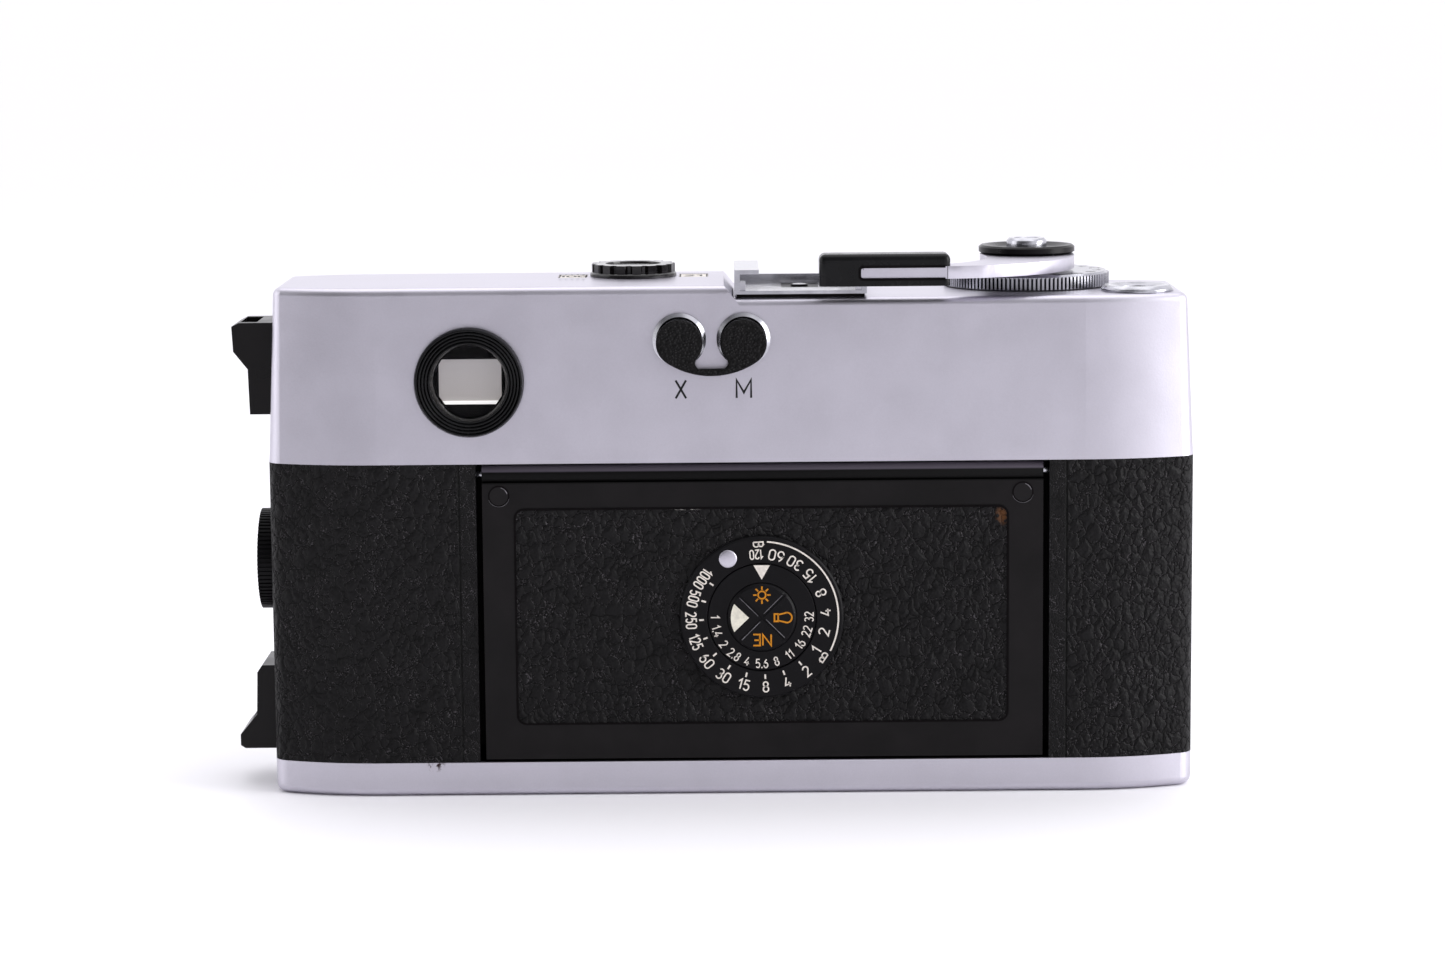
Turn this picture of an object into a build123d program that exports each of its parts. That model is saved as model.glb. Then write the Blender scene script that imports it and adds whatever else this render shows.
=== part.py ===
from build123d import *
import math
import os

# A 35 mm coupled-rangefinder camera with its standard lens, standing on its base plate.
# Millimetres. +X is the photographer's right, +Y is where the lens points, +Z is up.
# The origin is the mouth of the tripod socket, in the middle of the base plate.

# ---- Body casing -------------------------------------------------------------------------
BODY_W = 150.0
BODY_D = 33.5
EASE_START = 57.0        # the long sides are flat up to this X, then ease inwards
EASE_R = 43.0
EASE_DEG = 21.8
LEATHER_T = 0.8
SHELL_T = 1.5
BASE_TOP = 5.5           # seam between base plate and leather
BODY_TOP = 54.4          # seam between leather and top plate
LOW_DECK = 80.75         # top plate, right-hand deck
FINDER_DECK = 82.75      # top plate, raised finder deck on the left
DRAFT = 0.046            # inward lean of the top plate's walls per mm of height
PLATE_T = 1.3
STEP_TOP_X, STEP_FOOT_X = -1.0, 0.6
FIT = 0.05               # running clearance on a radius

# ---- Places ------------------------------------------------------------------------------
LENS_X, LENS_Z = 4.75, 29.2
WIND_X, WIND_Y = 49.2, 5.5          # advance lever, speed dial and release share this axis
ISO_X, ISO_Y = -15.95, 6.3
COUNTER_X, COUNTER_Y = 66.1, -7.4
EYE_X, EYE_Z = -42.0, 67.6
SYNC_X = (-8.2, 2.1)
SYNC_Z = 74.2
CASSETTE_X = -41.5
KEY_X = 55.0
BATTERY_Z = 36.9
END_X = BODY_W / 2

# ---- Back door ---------------------------------------------------------------------------
DOOR_X0, DOOR_X1 = -40.2, 50.2
DOOR_Z0, DOOR_Z1 = 6.0, 51.3
DOOR_GAP = 1.0
DOOR_OUT, DOOR_IN = -16.6, -15.0
HINGE_Y, HINGE_Z, HINGE_R = -15.25, 52.6, 1.5
INSERT_X0, INSERT_X1, INSERT_Z0, INSERT_Z1 = -35.0, 44.5, 11.8, 47.0

# ---- Wind train --------------------------------------------------------------------------
GEAR_MODULE = 0.5
LEVER_TEETH, SPOOL_TEETH = 36, 16
GEAR_Z0, GEAR_Z1 = 57.0, 59.5
PRESSURE_ANGLE = math.radians(20)
SPOOL_X = WIND_X + math.sqrt((GEAR_MODULE * (LEVER_TEETH + SPOOL_TEETH) / 2) ** 2 - WIND_Y ** 2)

parts = {}


# ---- Helpers -----------------------------------------------------------------------------
def box(x0, x1, y0, y1, z0, z1):
    """A box from its six limits."""
    return Pos((x0 + x1) / 2, (y0 + y1) / 2, (z0 + z1) / 2) * Box(x1 - x0, y1 - y0, z1 - z0)


def rod_z(x, y, r, z0, z1):
    return Pos(x, y, (z0 + z1) / 2) * Cylinder(r, z1 - z0)


def rod_y(x, z, r, y0, y1):
    return Pos(x, (y0 + y1) / 2, z) * Rot(90, 0, 0) * Cylinder(r, y1 - y0)


def rod_x(y, z, r, x0, x1):
    return Pos((x0 + x1) / 2, y, z) * Rot(0, 90, 0) * Cylinder(r, x1 - x0)


def turned(profile):
    """A solid of revolution about Z from (radius, height) points."""
    face = make_face(Polyline(*[(r, 0, h) for r, h in profile], close=True))
    return revolve(face, Axis.Z)


def along_y(shape, x, z, y=0.0):
    """Puts a shape turned about Z on a line along Y: its height becomes +Y."""
    return Pos(x, y, z) * Rot(-90, 0, 0) * shape


def outline(inset, z):
    """Plan outline of the camera at height z, set in by inset: flat sides that ease into flat ends."""
    turn = math.radians(EASE_DEG)
    half_d = BODY_D / 2
    corner_r = (END_X - EASE_START - EASE_R * math.sin(turn)) / (1 - math.sin(turn))
    ease_y = half_d - EASE_R
    corner_x = EASE_START + (EASE_R - corner_r) * math.sin(turn)
    corner_y = ease_y + (EASE_R - corner_r) * math.cos(turn)

    def on_arc(cx, cy, r, angle):
        return (cx + (r - inset) * math.sin(angle), cy + (r - inset) * math.cos(angle))

    quarter = [
        on_arc(EASE_START, ease_y, EASE_R, 0),
        on_arc(EASE_START, ease_y, EASE_R, turn / 2),
        on_arc(EASE_START, ease_y, EASE_R, turn),
        on_arc(corner_x, corner_y, corner_r, (turn + math.pi / 2) / 2),
        on_arc(corner_x, corner_y, corner_r, math.pi / 2),
    ]
    edges = []
    for sx, sy in ((1, 1), (1, -1), (-1, -1), (-1, 1)):
        a, b, c, d, e = [(sx * x, sy * y, z) for x, y in quarter]
        edges += [ThreePointArc(a, b, c), ThreePointArc(c, d, e)]
    a, e = quarter[0], quarter[-1]
    for s in (1, -1):
        edges.append(Line((-a[0], s * a[1], z), (a[0], s * a[1], z)))
        edges.append(Line((s * e[0], -e[1], z), (s * e[0], e[1], z)))
    return make_face(edges)


def slab(inset, z0, z1):
    return extrude(outline(inset, z0), amount=z1 - z0, dir=(0, 0, 1))


def drafted(inset, z0, z1):
    """The top plate's leaning walls between two heights."""
    low = inset + (z0 - BODY_TOP) * DRAFT
    high = inset + (z1 - BODY_TOP) * DRAFT
    return loft([outline(low, z0), outline(high, z1)], ruled=True)


def ribbed(r, depth, count, share=0.5):
    """Face of a ribbed disc: straight ribs round a circle."""
    points = []
    pitch = 2 * math.pi / count
    for i in range(count):
        for k, radius in ((0.0, r), (share, r), (share + 0.12, r - depth), (0.88, r - depth)):
            a = (i + k) * pitch
            points.append((radius * math.cos(a), radius * math.sin(a)))
    return make_face(Polyline(*points, close=True))


def gear(teeth, backlash=0.1, flank_steps=4):
    """Face of an involute spur gear with a tooth on +X."""
    pitch_r = GEAR_MODULE * teeth / 2
    base_r = pitch_r * math.cos(PRESSURE_ANGLE)
    tip_r, root_r = pitch_r + 0.9 * GEAR_MODULE, pitch_r - 1.25 * GEAR_MODULE
    start_r = max(base_r, root_r)
    half = math.pi / (2 * teeth) - backlash / (2 * pitch_r) + math.tan(PRESSURE_ANGLE) - PRESSURE_ANGLE
    flank = [(root_r, half)] if root_r < base_r else []
    for i in range(flank_steps + 1):
        r = start_r + (tip_r - start_r) * i / flank_steps
        roll = math.acos(min(1.0, base_r / r))
        flank.append((r, half - (math.tan(roll) - roll)))
    points = []
    for i in range(teeth):
        mid = 2 * math.pi * i / teeth
        for r, a in flank:
            points.append((r * math.cos(mid - a), r * math.sin(mid - a)))
        for r, a in reversed(flank):
            points.append((r * math.cos(mid + a), r * math.sin(mid + a)))
    return make_face(Polyline(*points, close=True))


def pill(length, width):
    return SlotOverall(length, width)


# ---- Casing ------------------------------------------------------------------------------
BATTERY_HOLE_R = 8.05
MOUNT_HOLE_R = 22.7
DOOR_CUT = box(DOOR_X0 - DOOR_GAP, DOOR_X1 + DOOR_GAP, -20, -13.4, 0, BODY_TOP + 1)
SELECTOR = (LENS_X - 33.0, 40.0)       # frame selector lever's pivot, X and Z
TIMER = (LENS_X + 34.5, 36.0)          # self-timer lever's pivot
RELEASE_LEVER = (62.5, 45.0)           # rewind release lever's pivot
LENS_BUTTON_REACH, LENS_BUTTON_ANGLE = 28.5, math.radians(-40)
LENS_BUTTON = (LENS_X + LENS_BUTTON_REACH * math.cos(LENS_BUTTON_ANGLE),
               LENS_Z + LENS_BUTTON_REACH * math.sin(LENS_BUTTON_ANGLE))
LUG_HALF_Y = 6.5


def front_bores():
    """Holes through the front wall for the lens mount and the four small controls."""
    cut = rod_y(LENS_X, LENS_Z, MOUNT_HOLE_R, 10, 20)
    for (x, z), r in ((SELECTOR, 2.0), (TIMER, 2.0), (RELEASE_LEVER, 2.0), (LENS_BUTTON, 4.1)):
        cut += rod_y(x, z, r + FIT, 10, 20)
    return cut


def make_casing():
    shell = slab(LEATHER_T, BASE_TOP, BODY_TOP) - slab(LEATHER_T + SHELL_T, BASE_TOP - 1, BODY_TOP + 1)
    rim = slab(LEATHER_T + 0.4, 3.0, BASE_TOP) - slab(LEATHER_T + SHELL_T, 2.0, BASE_TOP + 1)
    shell = (shell + rim) - DOOR_CUT - front_bores()
    shell -= rod_x(0, BATTERY_Z, BATTERY_HOLE_R, -80, -70)
    shell -= rod_x(HINGE_Y, HINGE_Z, 0.6, DOOR_X0 - DOOR_GAP - 0.9, DOOR_X1 + DOOR_GAP + 0.9)
    parts["body_shell"] = shell

    skin = slab(0, BASE_TOP + 0.05, BODY_TOP - 0.05) - slab(LEATHER_T, BASE_TOP - 1, BODY_TOP + 1)
    skin = skin - DOOR_CUT - front_bores()
    skin -= rod_x(0, BATTERY_Z, BATTERY_HOLE_R, -80, -70)
    parts["leatherette"] = skin

    pin = rod_x(HINGE_Y, HINGE_Z, 0.6, DOOR_X0 - DOOR_GAP - 0.8, DOOR_X1 + DOOR_GAP + 0.8)
    parts["door_hinge_pin"] = pin

    deck = slab(LEATHER_T + SHELL_T, 52.9, BODY_TOP - 0.1)
    deck -= box(DOOR_X0 - 2.0, DOOR_X1 + 2.0, -20, -13.2, 50, 60)
    deck -= rod_z(SPOOL_X, 0, 2.0 + FIT, 50, 60)
    parts["top_deck"] = deck


# ---- Film path and shutter ---------------------------------------------------------------
GATE_X0, GATE_X1 = LENS_X - 27.0, LENS_X + 27.0
FRAME_W, FRAME_H = 36.0, 24.0


def make_film_path():
    crate = box(GATE_X0, GATE_X1, -12.9, 14.4, 8.0, 50.0)
    for side in (-1, 1):
        rail_z = LENS_Z + side * 14.0
        crate += box(GATE_X0, GATE_X1, -13.15, -12.9, rail_z - 0.8, rail_z + 0.8)
    gate_x, gate_z = FRAME_W / 2, FRAME_H / 2
    crate -= box(LENS_X - gate_x, LENS_X + gate_x, -14, -10, LENS_Z - gate_z, LENS_Z + gate_z)
    crate -= box(GATE_X0 + 1.5, GATE_X1 - 1.5, -11.4, 12.9, 9.5, 48.5)
    crate -= rod_y(LENS_X, LENS_Z, 19.5, 12, 15)
    crate -= rod_y(*LENS_BUTTON, 1.7, 12, 15)
    parts["shutter_crate"] = crate

    parts["shutter_curtain"] = box(LENS_X - 20.0, LENS_X + 20.0, -9.9, -9.6, 13.0, 45.0)
    drums = rod_z(LENS_X - 22.6, -8.2, 2.2, 9.7, 48.3)
    drums += rod_z(LENS_X + 22.6, -8.2, 2.2, 9.7, 48.3)
    parts["curtain_drums"] = drums

    well = rod_z(CASSETTE_X, 0, 14.0, 7.0, 52.8) - rod_z(CASSETTE_X, 0, 13.0, 6.0, 54.0)
    well -= box(CASSETTE_X, CASSETTE_X + 20, -20, -6.0, 6.0, 54.0)
    well -= box(CASSETTE_X - 20, CASSETTE_X + 20, -20, -13.3, 6.0, 54.0)
    parts["cassette_well"] = well

    spool = turned([(0, 8.0), (9.5, 8.0), (9.5, 9.2), (7.0, 9.2), (7.0, 51.2), (9.5, 51.2), (9.5, 52.4),
                    (2.0, 52.4), (2.0, GEAR_Z1), (0, GEAR_Z1)])
    mesh_turn = math.degrees(math.atan2(-WIND_Y, SPOOL_X - WIND_X)) + 180 + 180 / SPOOL_TEETH
    wheel = Pos(0, 0, GEAR_Z0) * Rot(0, 0, mesh_turn) * extrude(gear(SPOOL_TEETH), amount=GEAR_Z1 - GEAR_Z0)
    slot = box(-0.6, 0.6, -7.5, -4.5, 14.0, 44.0)
    parts["take_up_spool"] = Pos(SPOOL_X, 0, 0) * (spool + wheel - slot)

    tube = rod_x(0, BATTERY_Z, 9.0, -72.6, -64.2) - rod_x(0, BATTERY_Z, 8.0, -73.0, -65.4)
    parts["battery_tube"] = tube
    parts["battery_cell"] = rod_x(0, BATTERY_Z, 7.75, -71.6, -65.5)


# ---- Top plate ---------------------------------------------------------------------------
WINDOWS = {
    "viewfinder_window": (EYE_X, 68.3, 16.0, 11.0),
    "frosted_window": (-12.0, 69.3, 17.0, 7.6),
    "rangefinder_window": (26.5, 69.3, 8.4, 6.0),
}
EYE_SEAT_Y = -15.5
EYE_SEAT_R = 8.85
BOSS_R, SHAFT_R, STEM_R = 5.0, 2.6, 1.75
COUNTER_R = 5.85
RIM_R = 1.3             # rounding of the top plate's upper edges
ISO_SLOT_L, ISO_SLOT_W = 4.8, 6.5
ISO_SLOT_X = (ISO_X - 10.0, ISO_X + 10.0)


def wall_y(z):
    """How far back the top plate's rear wall stands at height z."""
    return -BODY_D / 2 + (z - BODY_TOP) * DRAFT


def make_top_plate():
    block = drafted(0, BODY_TOP, FINDER_DECK)
    lower = make_face(Polyline((STEP_FOOT_X, -30, LOW_DECK), (END_X + 5, -30, LOW_DECK), (END_X + 5, -30, 90),
                               (STEP_TOP_X - 3, -30, 90), (STEP_TOP_X, -30, FINDER_DECK), close=True))
    block -= extrude(lower, amount=60, dir=(0, 1, 0))
    rims = [e for e in block.edges() if e.center().Z > LOW_DECK - 0.2 and abs(e.center().X) > 2.0]
    block = fillet(rims, RIM_R)
    hollow = drafted(PLATE_T, BODY_TOP, LOW_DECK - PLATE_T)
    hollow = extrude(outline(PLATE_T, BODY_TOP - 1), amount=1.0, dir=(0, 0, 1)) + hollow
    inset_high = PLATE_T + (LOW_DECK - PLATE_T - BODY_TOP) * DRAFT
    pocket = slab(inset_high, LOW_DECK - PLATE_T - 0.1, FINDER_DECK - PLATE_T)
    pocket &= box(-80, STEP_TOP_X - 1.5, -20, 20, 70, 90)
    plate = block - hollow - pocket

    plate += rod_z(WIND_X, WIND_Y, BOSS_R, LOW_DECK - 2.5, LOW_DECK + 2.6)
    plate -= rod_z(WIND_X, WIND_Y, SHAFT_R + FIT, 70, 90)
    plate -= rod_z(ISO_X, ISO_Y, 2.0 + FIT, 78, 90)
    for x in ISO_SLOT_X:
        plate -= Pos(x, ISO_Y, 80) * extrude(Rectangle(ISO_SLOT_L, ISO_SLOT_W), amount=6)
    plate -= rod_z(COUNTER_X, COUNTER_Y, 4.9, 78, 84)
    plate -= rod_y(EYE_X, EYE_Z, EYE_SEAT_R, -20, EYE_SEAT_Y)
    plate -= rod_y(EYE_X, EYE_Z, 6.9, -20, -12)
    for x in SYNC_X:
        plate -= rod_y(x, SYNC_Z, 4.3, -20, -12)
    for x, z, w, h in WINDOWS.values():
        plate -= box(x - w / 2, x + w / 2, 12, 20, z - h / 2, z + h / 2)
    parts["top_plate"] = plate

    for name, (x, z, w, h) in WINDOWS.items():
        face_y = -wall_y(z) - 0.5
        parts[name] = box(x - w / 2, x + w / 2, face_y - 1.2, face_y, z - h / 2, z + h / 2)

    block_w = 13.0
    finder = box(EYE_X - block_w / 2, EYE_X + block_w / 2, -12.0, 12.0, 61.5, 74.5)
    bridge = box(EYE_X + block_w / 2, 30.5, 2.0, 10.5, 64.5, 73.5)
    parts["viewfinder_block"] = finder + bridge


def make_eyepiece():
    ring = turned([(5.9, 0.0), (6.9, 0.0), (6.9, 3.4), (EYE_SEAT_R - FIT, 3.4), (EYE_SEAT_R - FIT, 5.0),
                   (8.3, 5.5), (7.9, 5.5), (7.75, 5.1), (7.6, 5.5), (7.2, 5.5), (7.05, 4.9), (6.9, 5.3),
                   (6.6, 5.3), (6.45, 4.6), (6.3, 4.6), (5.9, 4.0)])
    parts["eyepiece_ring"] = Pos(EYE_X, EYE_SEAT_Y + 3.4, EYE_Z) * Rot(90, 0, 0) * ring
    parts["eyepiece_glass"] = rod_y(EYE_X, EYE_Z, 5.9, -15.0, -13.4)


def make_sync_sockets():
    socket = turned([(2.6, 0.0), (4.3, 0.0), (4.3, 2.9), (3.7, 3.3), (3.35, 2.6), (2.6, 2.6)])
    socket += Cylinder(0.6, 2.2, align=(Align.CENTER, Align.CENTER, Align.MIN))
    socket += Cylinder(2.6, 0.4, align=(Align.CENTER, Align.CENTER, Align.MIN))
    pair = [Pos(x, wall_y(SYNC_Z) + 2.6, SYNC_Z) * Rot(90, 0, 0) * socket for x in SYNC_X]
    parts["sync_sockets"] = pair[0] + pair[1]

    # the cap: two plugs, two round heads that hang a little low, and the strap between them
    face = wall_y(SYNC_Z) - 0.75
    drop, head_r = 0.45, 3.75
    cap = None
    for x in SYNC_X:
        head = rod_y(x, SYNC_Z - drop, head_r, face - 1.5, face)
        plug = rod_y(x, SYNC_Z, 2.5, face, face + 2.0) - rod_y(x, SYNC_Z, 0.8, face, face + 2.1)
        cap = head + plug if cap is None else cap + head + plug
    mid = sum(SYNC_X) / 2
    reach = (SYNC_X[1] - SYNC_X[0]) / 2
    low = SYNC_Z - drop - 5.3
    strap = make_face([
        ThreePointArc((mid - reach - 2.2, face, SYNC_Z - 3.8), (mid, face, low),
                      (mid + reach + 2.2, face, SYNC_Z - 3.8)),
        Line((mid + reach + 2.2, face, SYNC_Z - 3.8), (mid + reach - 1.9, face, SYNC_Z - 3.6)),
        ThreePointArc((mid + reach - 1.9, face, SYNC_Z - 3.6), (mid, face, low + 1.1),
                      (mid - reach + 1.9, face, SYNC_Z - 3.6)),
        Line((mid - reach + 1.9, face, SYNC_Z - 3.6), (mid - reach - 2.2, face, SYNC_Z - 3.8)),
    ])
    parts["sync_cap"] = cap + extrude(strap, amount=1.3, dir=(0, -1, 0))


def make_shoe():
    x0, x1, y0, y1 = 0.75, 21.95, -15.1, 5.0
    floor_z, lip_low, lip_top, wall = 81.85, 84.5, 85.2, 0.85
    foot_top, foot_inset = 81.3, 0.9
    shoe = box(x0, x1, y0, y1, foot_top, floor_z)
    shoe += box(x0 + foot_inset, x1 - foot_inset, y0 + foot_inset, y1 - foot_inset, LOW_DECK, foot_top)
    shoe += box(x0, x0 + wall, y0, y1, floor_z, lip_top) + box(x1 - wall, x1, y0, y1, floor_z, lip_top)
    shoe += box(x0, x0 + 3.9, y0, y1, lip_low, lip_top) + box(x1 - 3.9, x1, y0, y1, lip_low, lip_top)
    shoe += box(x0 + wall, x1 - wall, y1 - 0.9, y1, floor_z, floor_z + 1.2)
    middle = (x0 + x1) / 2
    contact_y = -4.0
    shoe -= box(middle - 3.0, middle + 3.0, contact_y - 4.5, contact_y + 4.5, LOW_DECK - 1, 90)
    springs = box(x0 + wall, x0 + wall + 0.9, y0 + 0.4, y0 + 3.4, floor_z, floor_z + 1.4)
    springs += box(x1 - wall - 0.9, x1 - wall, y0 + 0.4, y0 + 3.4, floor_z, floor_z + 1.4)
    parts["shoe_rail"] = shoe + springs
    pad = box(middle - 3.0, middle + 3.0, contact_y - 4.5, contact_y + 4.5, LOW_DECK, floor_z - 0.15)
    parts["shoe_contact"] = pad + rod_z(middle, contact_y, 1.4, floor_z - 0.15, floor_z + 0.15)
    return [(middle + sx * 6.0, contact_y + sy * 5.5, floor_z) for sx in (-1, 1) for sy in (-1, 1)]


# ---- Top controls ------------------------------------------------------------------------
def make_wind_group():
    arm_z0, arm_z1 = 84.0, 86.0
    bore_r = 3.45
    shaft = rod_z(0, 0, SHAFT_R, 55.5, arm_z0) - rod_z(0, 0, STEM_R + FIT, 50, 90)
    mesh_turn = math.degrees(math.atan2(-WIND_Y, SPOOL_X - WIND_X))
    wheel = Pos(0, 0, GEAR_Z0) * Rot(0, 0, mesh_turn) * extrude(gear(LEVER_TEETH), amount=GEAR_Z1 - GEAR_Z0)
    wheel -= rod_z(0, 0, SHAFT_R - 0.4, 50, 70)
    parts["wind_shaft"] = Pos(WIND_X, WIND_Y, 0) * (shaft + wheel)

    # the arm leaves the hub to the rear and bends round to the left behind the accessory shoe
    arm = make_face([
        Line((20.6, -18.0), (31.0, -18.0)),
        ThreePointArc((31.0, -18.0), (38.8, -11.5), (41.8, 3.0)),
        Line((41.8, 3.0), (56.8, 4.2)),
        ThreePointArc((56.8, 4.2), (50.6, -12.8), (34.5, -20.8)),
        Line((34.5, -20.8), (20.6, -20.8)),
        Line((20.6, -20.8), (20.6, -18.0)),
    ])
    lever = Pos(0, 0, arm_z0) * extrude(arm, amount=arm_z1 - arm_z0)
    lever += rod_z(WIND_X, WIND_Y, 7.7, arm_z0, arm_z1)
    lever -= rod_z(WIND_X, WIND_Y, bore_r, 80, 90)
    lever += rod_z(WIND_X, WIND_Y, 4.6, arm_z0 - 0.5, arm_z0) - rod_z(WIND_X, WIND_Y, SHAFT_R, 80, 90)
    parts["lever_arm"] = lever

    tip = box(14.2, 35.0, -21.0, -15.4, 82.9, 88.0)
    tip = fillet(tip.edges().filter_by(Axis.Z) + tip.edges().group_by(Axis.Z)[-1], 1.0)
    parts["lever_tip"] = tip - lever - box(20.6, 36.0, -22.0, -20.8, arm_z0, arm_z1)

    cap = turned([(3.45, 86.0), (7.2, 86.0), (7.9, 86.4), (7.9, 87.2), (7.5, 87.5), (6.9, 87.5),
                  (5.2, 87.0), (3.45, 86.8)])
    parts["lever_cap"] = Pos(WIND_X, WIND_Y, 0) * cap

    button = turned([(0, 56.4), (STEM_R, 56.4), (STEM_R, 86.2), (3.2, 86.2), (3.35, 86.5), (3.3, 88.2),
                     (2.9, 88.6),
                     (2.1, 88.6), (1.8, 88.2), (1.65, 88.2), (1.65, 84.7), (0, 84.7)])
    parts["release_button"] = Pos(WIND_X, WIND_Y, 0) * button


def make_dials():
    dial = extrude(ribbed(13.6, 0.3, 120), amount=2.0)
    dial += Pos(0, 0, 2.0) * extrude(Circle(13.2), amount=0.35, taper=30)
    dial -= Cylinder(BOSS_R + FIT, 10)
    parts["speed_dial"] = Pos(WIND_X, WIND_Y, LOW_DECK + 0.2) * dial

    lobes = 16
    knob = turned([(0, 0), (7.15, 0), (7.15, 0.5), (6.9, 0.7), (0, 0.7)])
    knob += Pos(0, 0, 0.7) * extrude(ribbed(6.9, 0.75, lobes, share=0.55), amount=1.35)
    knob -= Pos(0, 0, 1.75) * Cylinder(4.6, 1.0, align=(Align.CENTER, Align.CENTER, Align.MIN))
    knob += Cylinder(2.0, 3.1, align=(Align.CENTER, Align.CENTER, Align.MAX))
    parts["iso_knob"] = Pos(ISO_X, ISO_Y, FINDER_DECK + 0.05) * knob
    strips = []
    for x in ISO_SLOT_X:
        under = FINDER_DECK - PLATE_T
        flange = extrude(Rectangle(ISO_SLOT_L + 0.8, ISO_SLOT_W + 0.8), amount=0.6)
        flange = Pos(x, ISO_Y, under - 0.6) * flange
        face = Pos(x, ISO_Y, under) * extrude(
            Rectangle(ISO_SLOT_L - 2 * FIT, ISO_SLOT_W - 2 * FIT), amount=PLATE_T - 0.05)
        strips.append(flange + face)
    parts["iso_scale"] = strips[0] + strips[1]

    bezel = turned([(3.0, 0.0), (4.9, 0.0), (4.9, 1.3), (COUNTER_R, 1.3), (COUNTER_R, 1.75), (5.3, 2.35),
                    (4.6, 2.35), (3.0, 1.9)])
    parts["counter_bezel"] = Pos(COUNTER_X, COUNTER_Y, LOW_DECK - 1.3) * bezel
    parts["counter_glass"] = rod_z(COUNTER_X, COUNTER_Y, 3.0, LOW_DECK - 0.6, LOW_DECK + 0.4)
    parts["counter_disc"] = rod_z(COUNTER_X - 1.4, COUNTER_Y + 1.2, 5.4, 78.2, 78.9)


# ---- Back door ---------------------------------------------------------------------------
DIAL_R, DISC_R, KNOB_R = 13.25, 8.8, 5.55


def make_back_door():
    frame = box(DOOR_X0, DOOR_X1, DOOR_OUT, DOOR_IN, DOOR_Z0, DOOR_Z1)
    frame += rod_x(HINGE_Y, HINGE_Z, HINGE_R, DOOR_X0, DOOR_X1)
    frame -= rod_x(HINGE_Y, HINGE_Z, 0.6 + FIT, DOOR_X0 - 1, DOOR_X1 + 1)
    width, height = INSERT_X1 - INSERT_X0, INSERT_Z1 - INSERT_Z0
    panel_at = Pos((INSERT_X0 + INSERT_X1) / 2, DOOR_OUT, (INSERT_Z0 + INSERT_Z1) / 2) * Rot(90, 0, 0)
    panel = panel_at * RectangleRounded(width, height, 1.4)
    recess = extrude(panel, amount=0.6, dir=(0, 1, 0))
    frame -= recess
    frame -= rod_y(LENS_X, LENS_Z, 1.6 + FIT, -18, -14)
    rivet_at = [(-37.5, 49.2), (46.9, 49.2)]
    for x, z in rivet_at:
        frame -= rod_y(x, z, 1.6, -18, DOOR_OUT + 0.5)
    for x in (LENS_X - 20.0, LENS_X + 20.0):
        frame += rod_y(x, LENS_Z, 1.0, DOOR_IN, -13.6)
    parts["door_frame"] = frame

    rivets = [rod_y(x, z, 1.6, DOOR_OUT - 0.12, DOOR_OUT + 0.5) for x, z in rivet_at]
    parts["door_rivets"] = rivets[0] + rivets[1]
    parts["door_leather"] = recess - rod_y(LENS_X, LENS_Z, DIAL_R, -18, -14)

    scale = turned([(DISC_R + FIT, 0), (DIAL_R, 0), (DIAL_R, 1.1), (DIAL_R - 0.35, 1.35), (DISC_R + FIT, 1.35)])
    parts["exposure_scale"] = Pos(LENS_X, DOOR_OUT + 0.6, LENS_Z) * Rot(90, 0, 0) * scale
    disc = turned([(0.7 + FIT, -1.0), (1.6, -1.0), (1.6, 0.05), (DISC_R, 0.05), (DISC_R, 1.15), (DISC_R - 0.2, 1.3),
                   (KNOB_R + FIT, 1.3), (KNOB_R + FIT, 0.5), (0.7 + FIT, 0.5)])
    parts["exposure_disc"] = Pos(LENS_X, DOOR_OUT + 0.6, LENS_Z) * Rot(90, 0, 0) * disc
    knob = turned([(0, -0.9), (0.7, -0.9), (0.7, 0.55), (KNOB_R, 0.55), (KNOB_R, 1.5), (KNOB_R - 0.4, 1.85),
                   (0, 1.85)])
    for turn in (45, 135):
        knob -= Rot(0, 0, turn) * Pos(0, 0, 1.9) * Box(12, 0.35, 0.5)
    parts["film_type_knob"] = Pos(LENS_X, DOOR_OUT + 0.6, LENS_Z) * Rot(90, 0, 0) * knob

    plate = box(LENS_X - 29, LENS_X + 29, -14.1, -13.2, LENS_Z - 15.5, LENS_Z + 15.5)
    for x in (LENS_X - 20.0, LENS_X + 20.0):
        plate -= rod_y(x, LENS_Z, 1.0 + FIT, -15, -13)
    parts["pressure_plate"] = plate


# ---- Base plate --------------------------------------------------------------------------
BASE_WALL, FLOOR_T = 1.05, 1.6
CRANK_R = 9.5
CRANK_HINGE_X, GRIP_X = CASSETTE_X - 7.7, CASSETTE_X + 5.4
CRANK_HINGE_Z = 0.62
KEY_R, BAIL_R = 8.5, 7.4
BAIL_Z = 0.8


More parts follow.
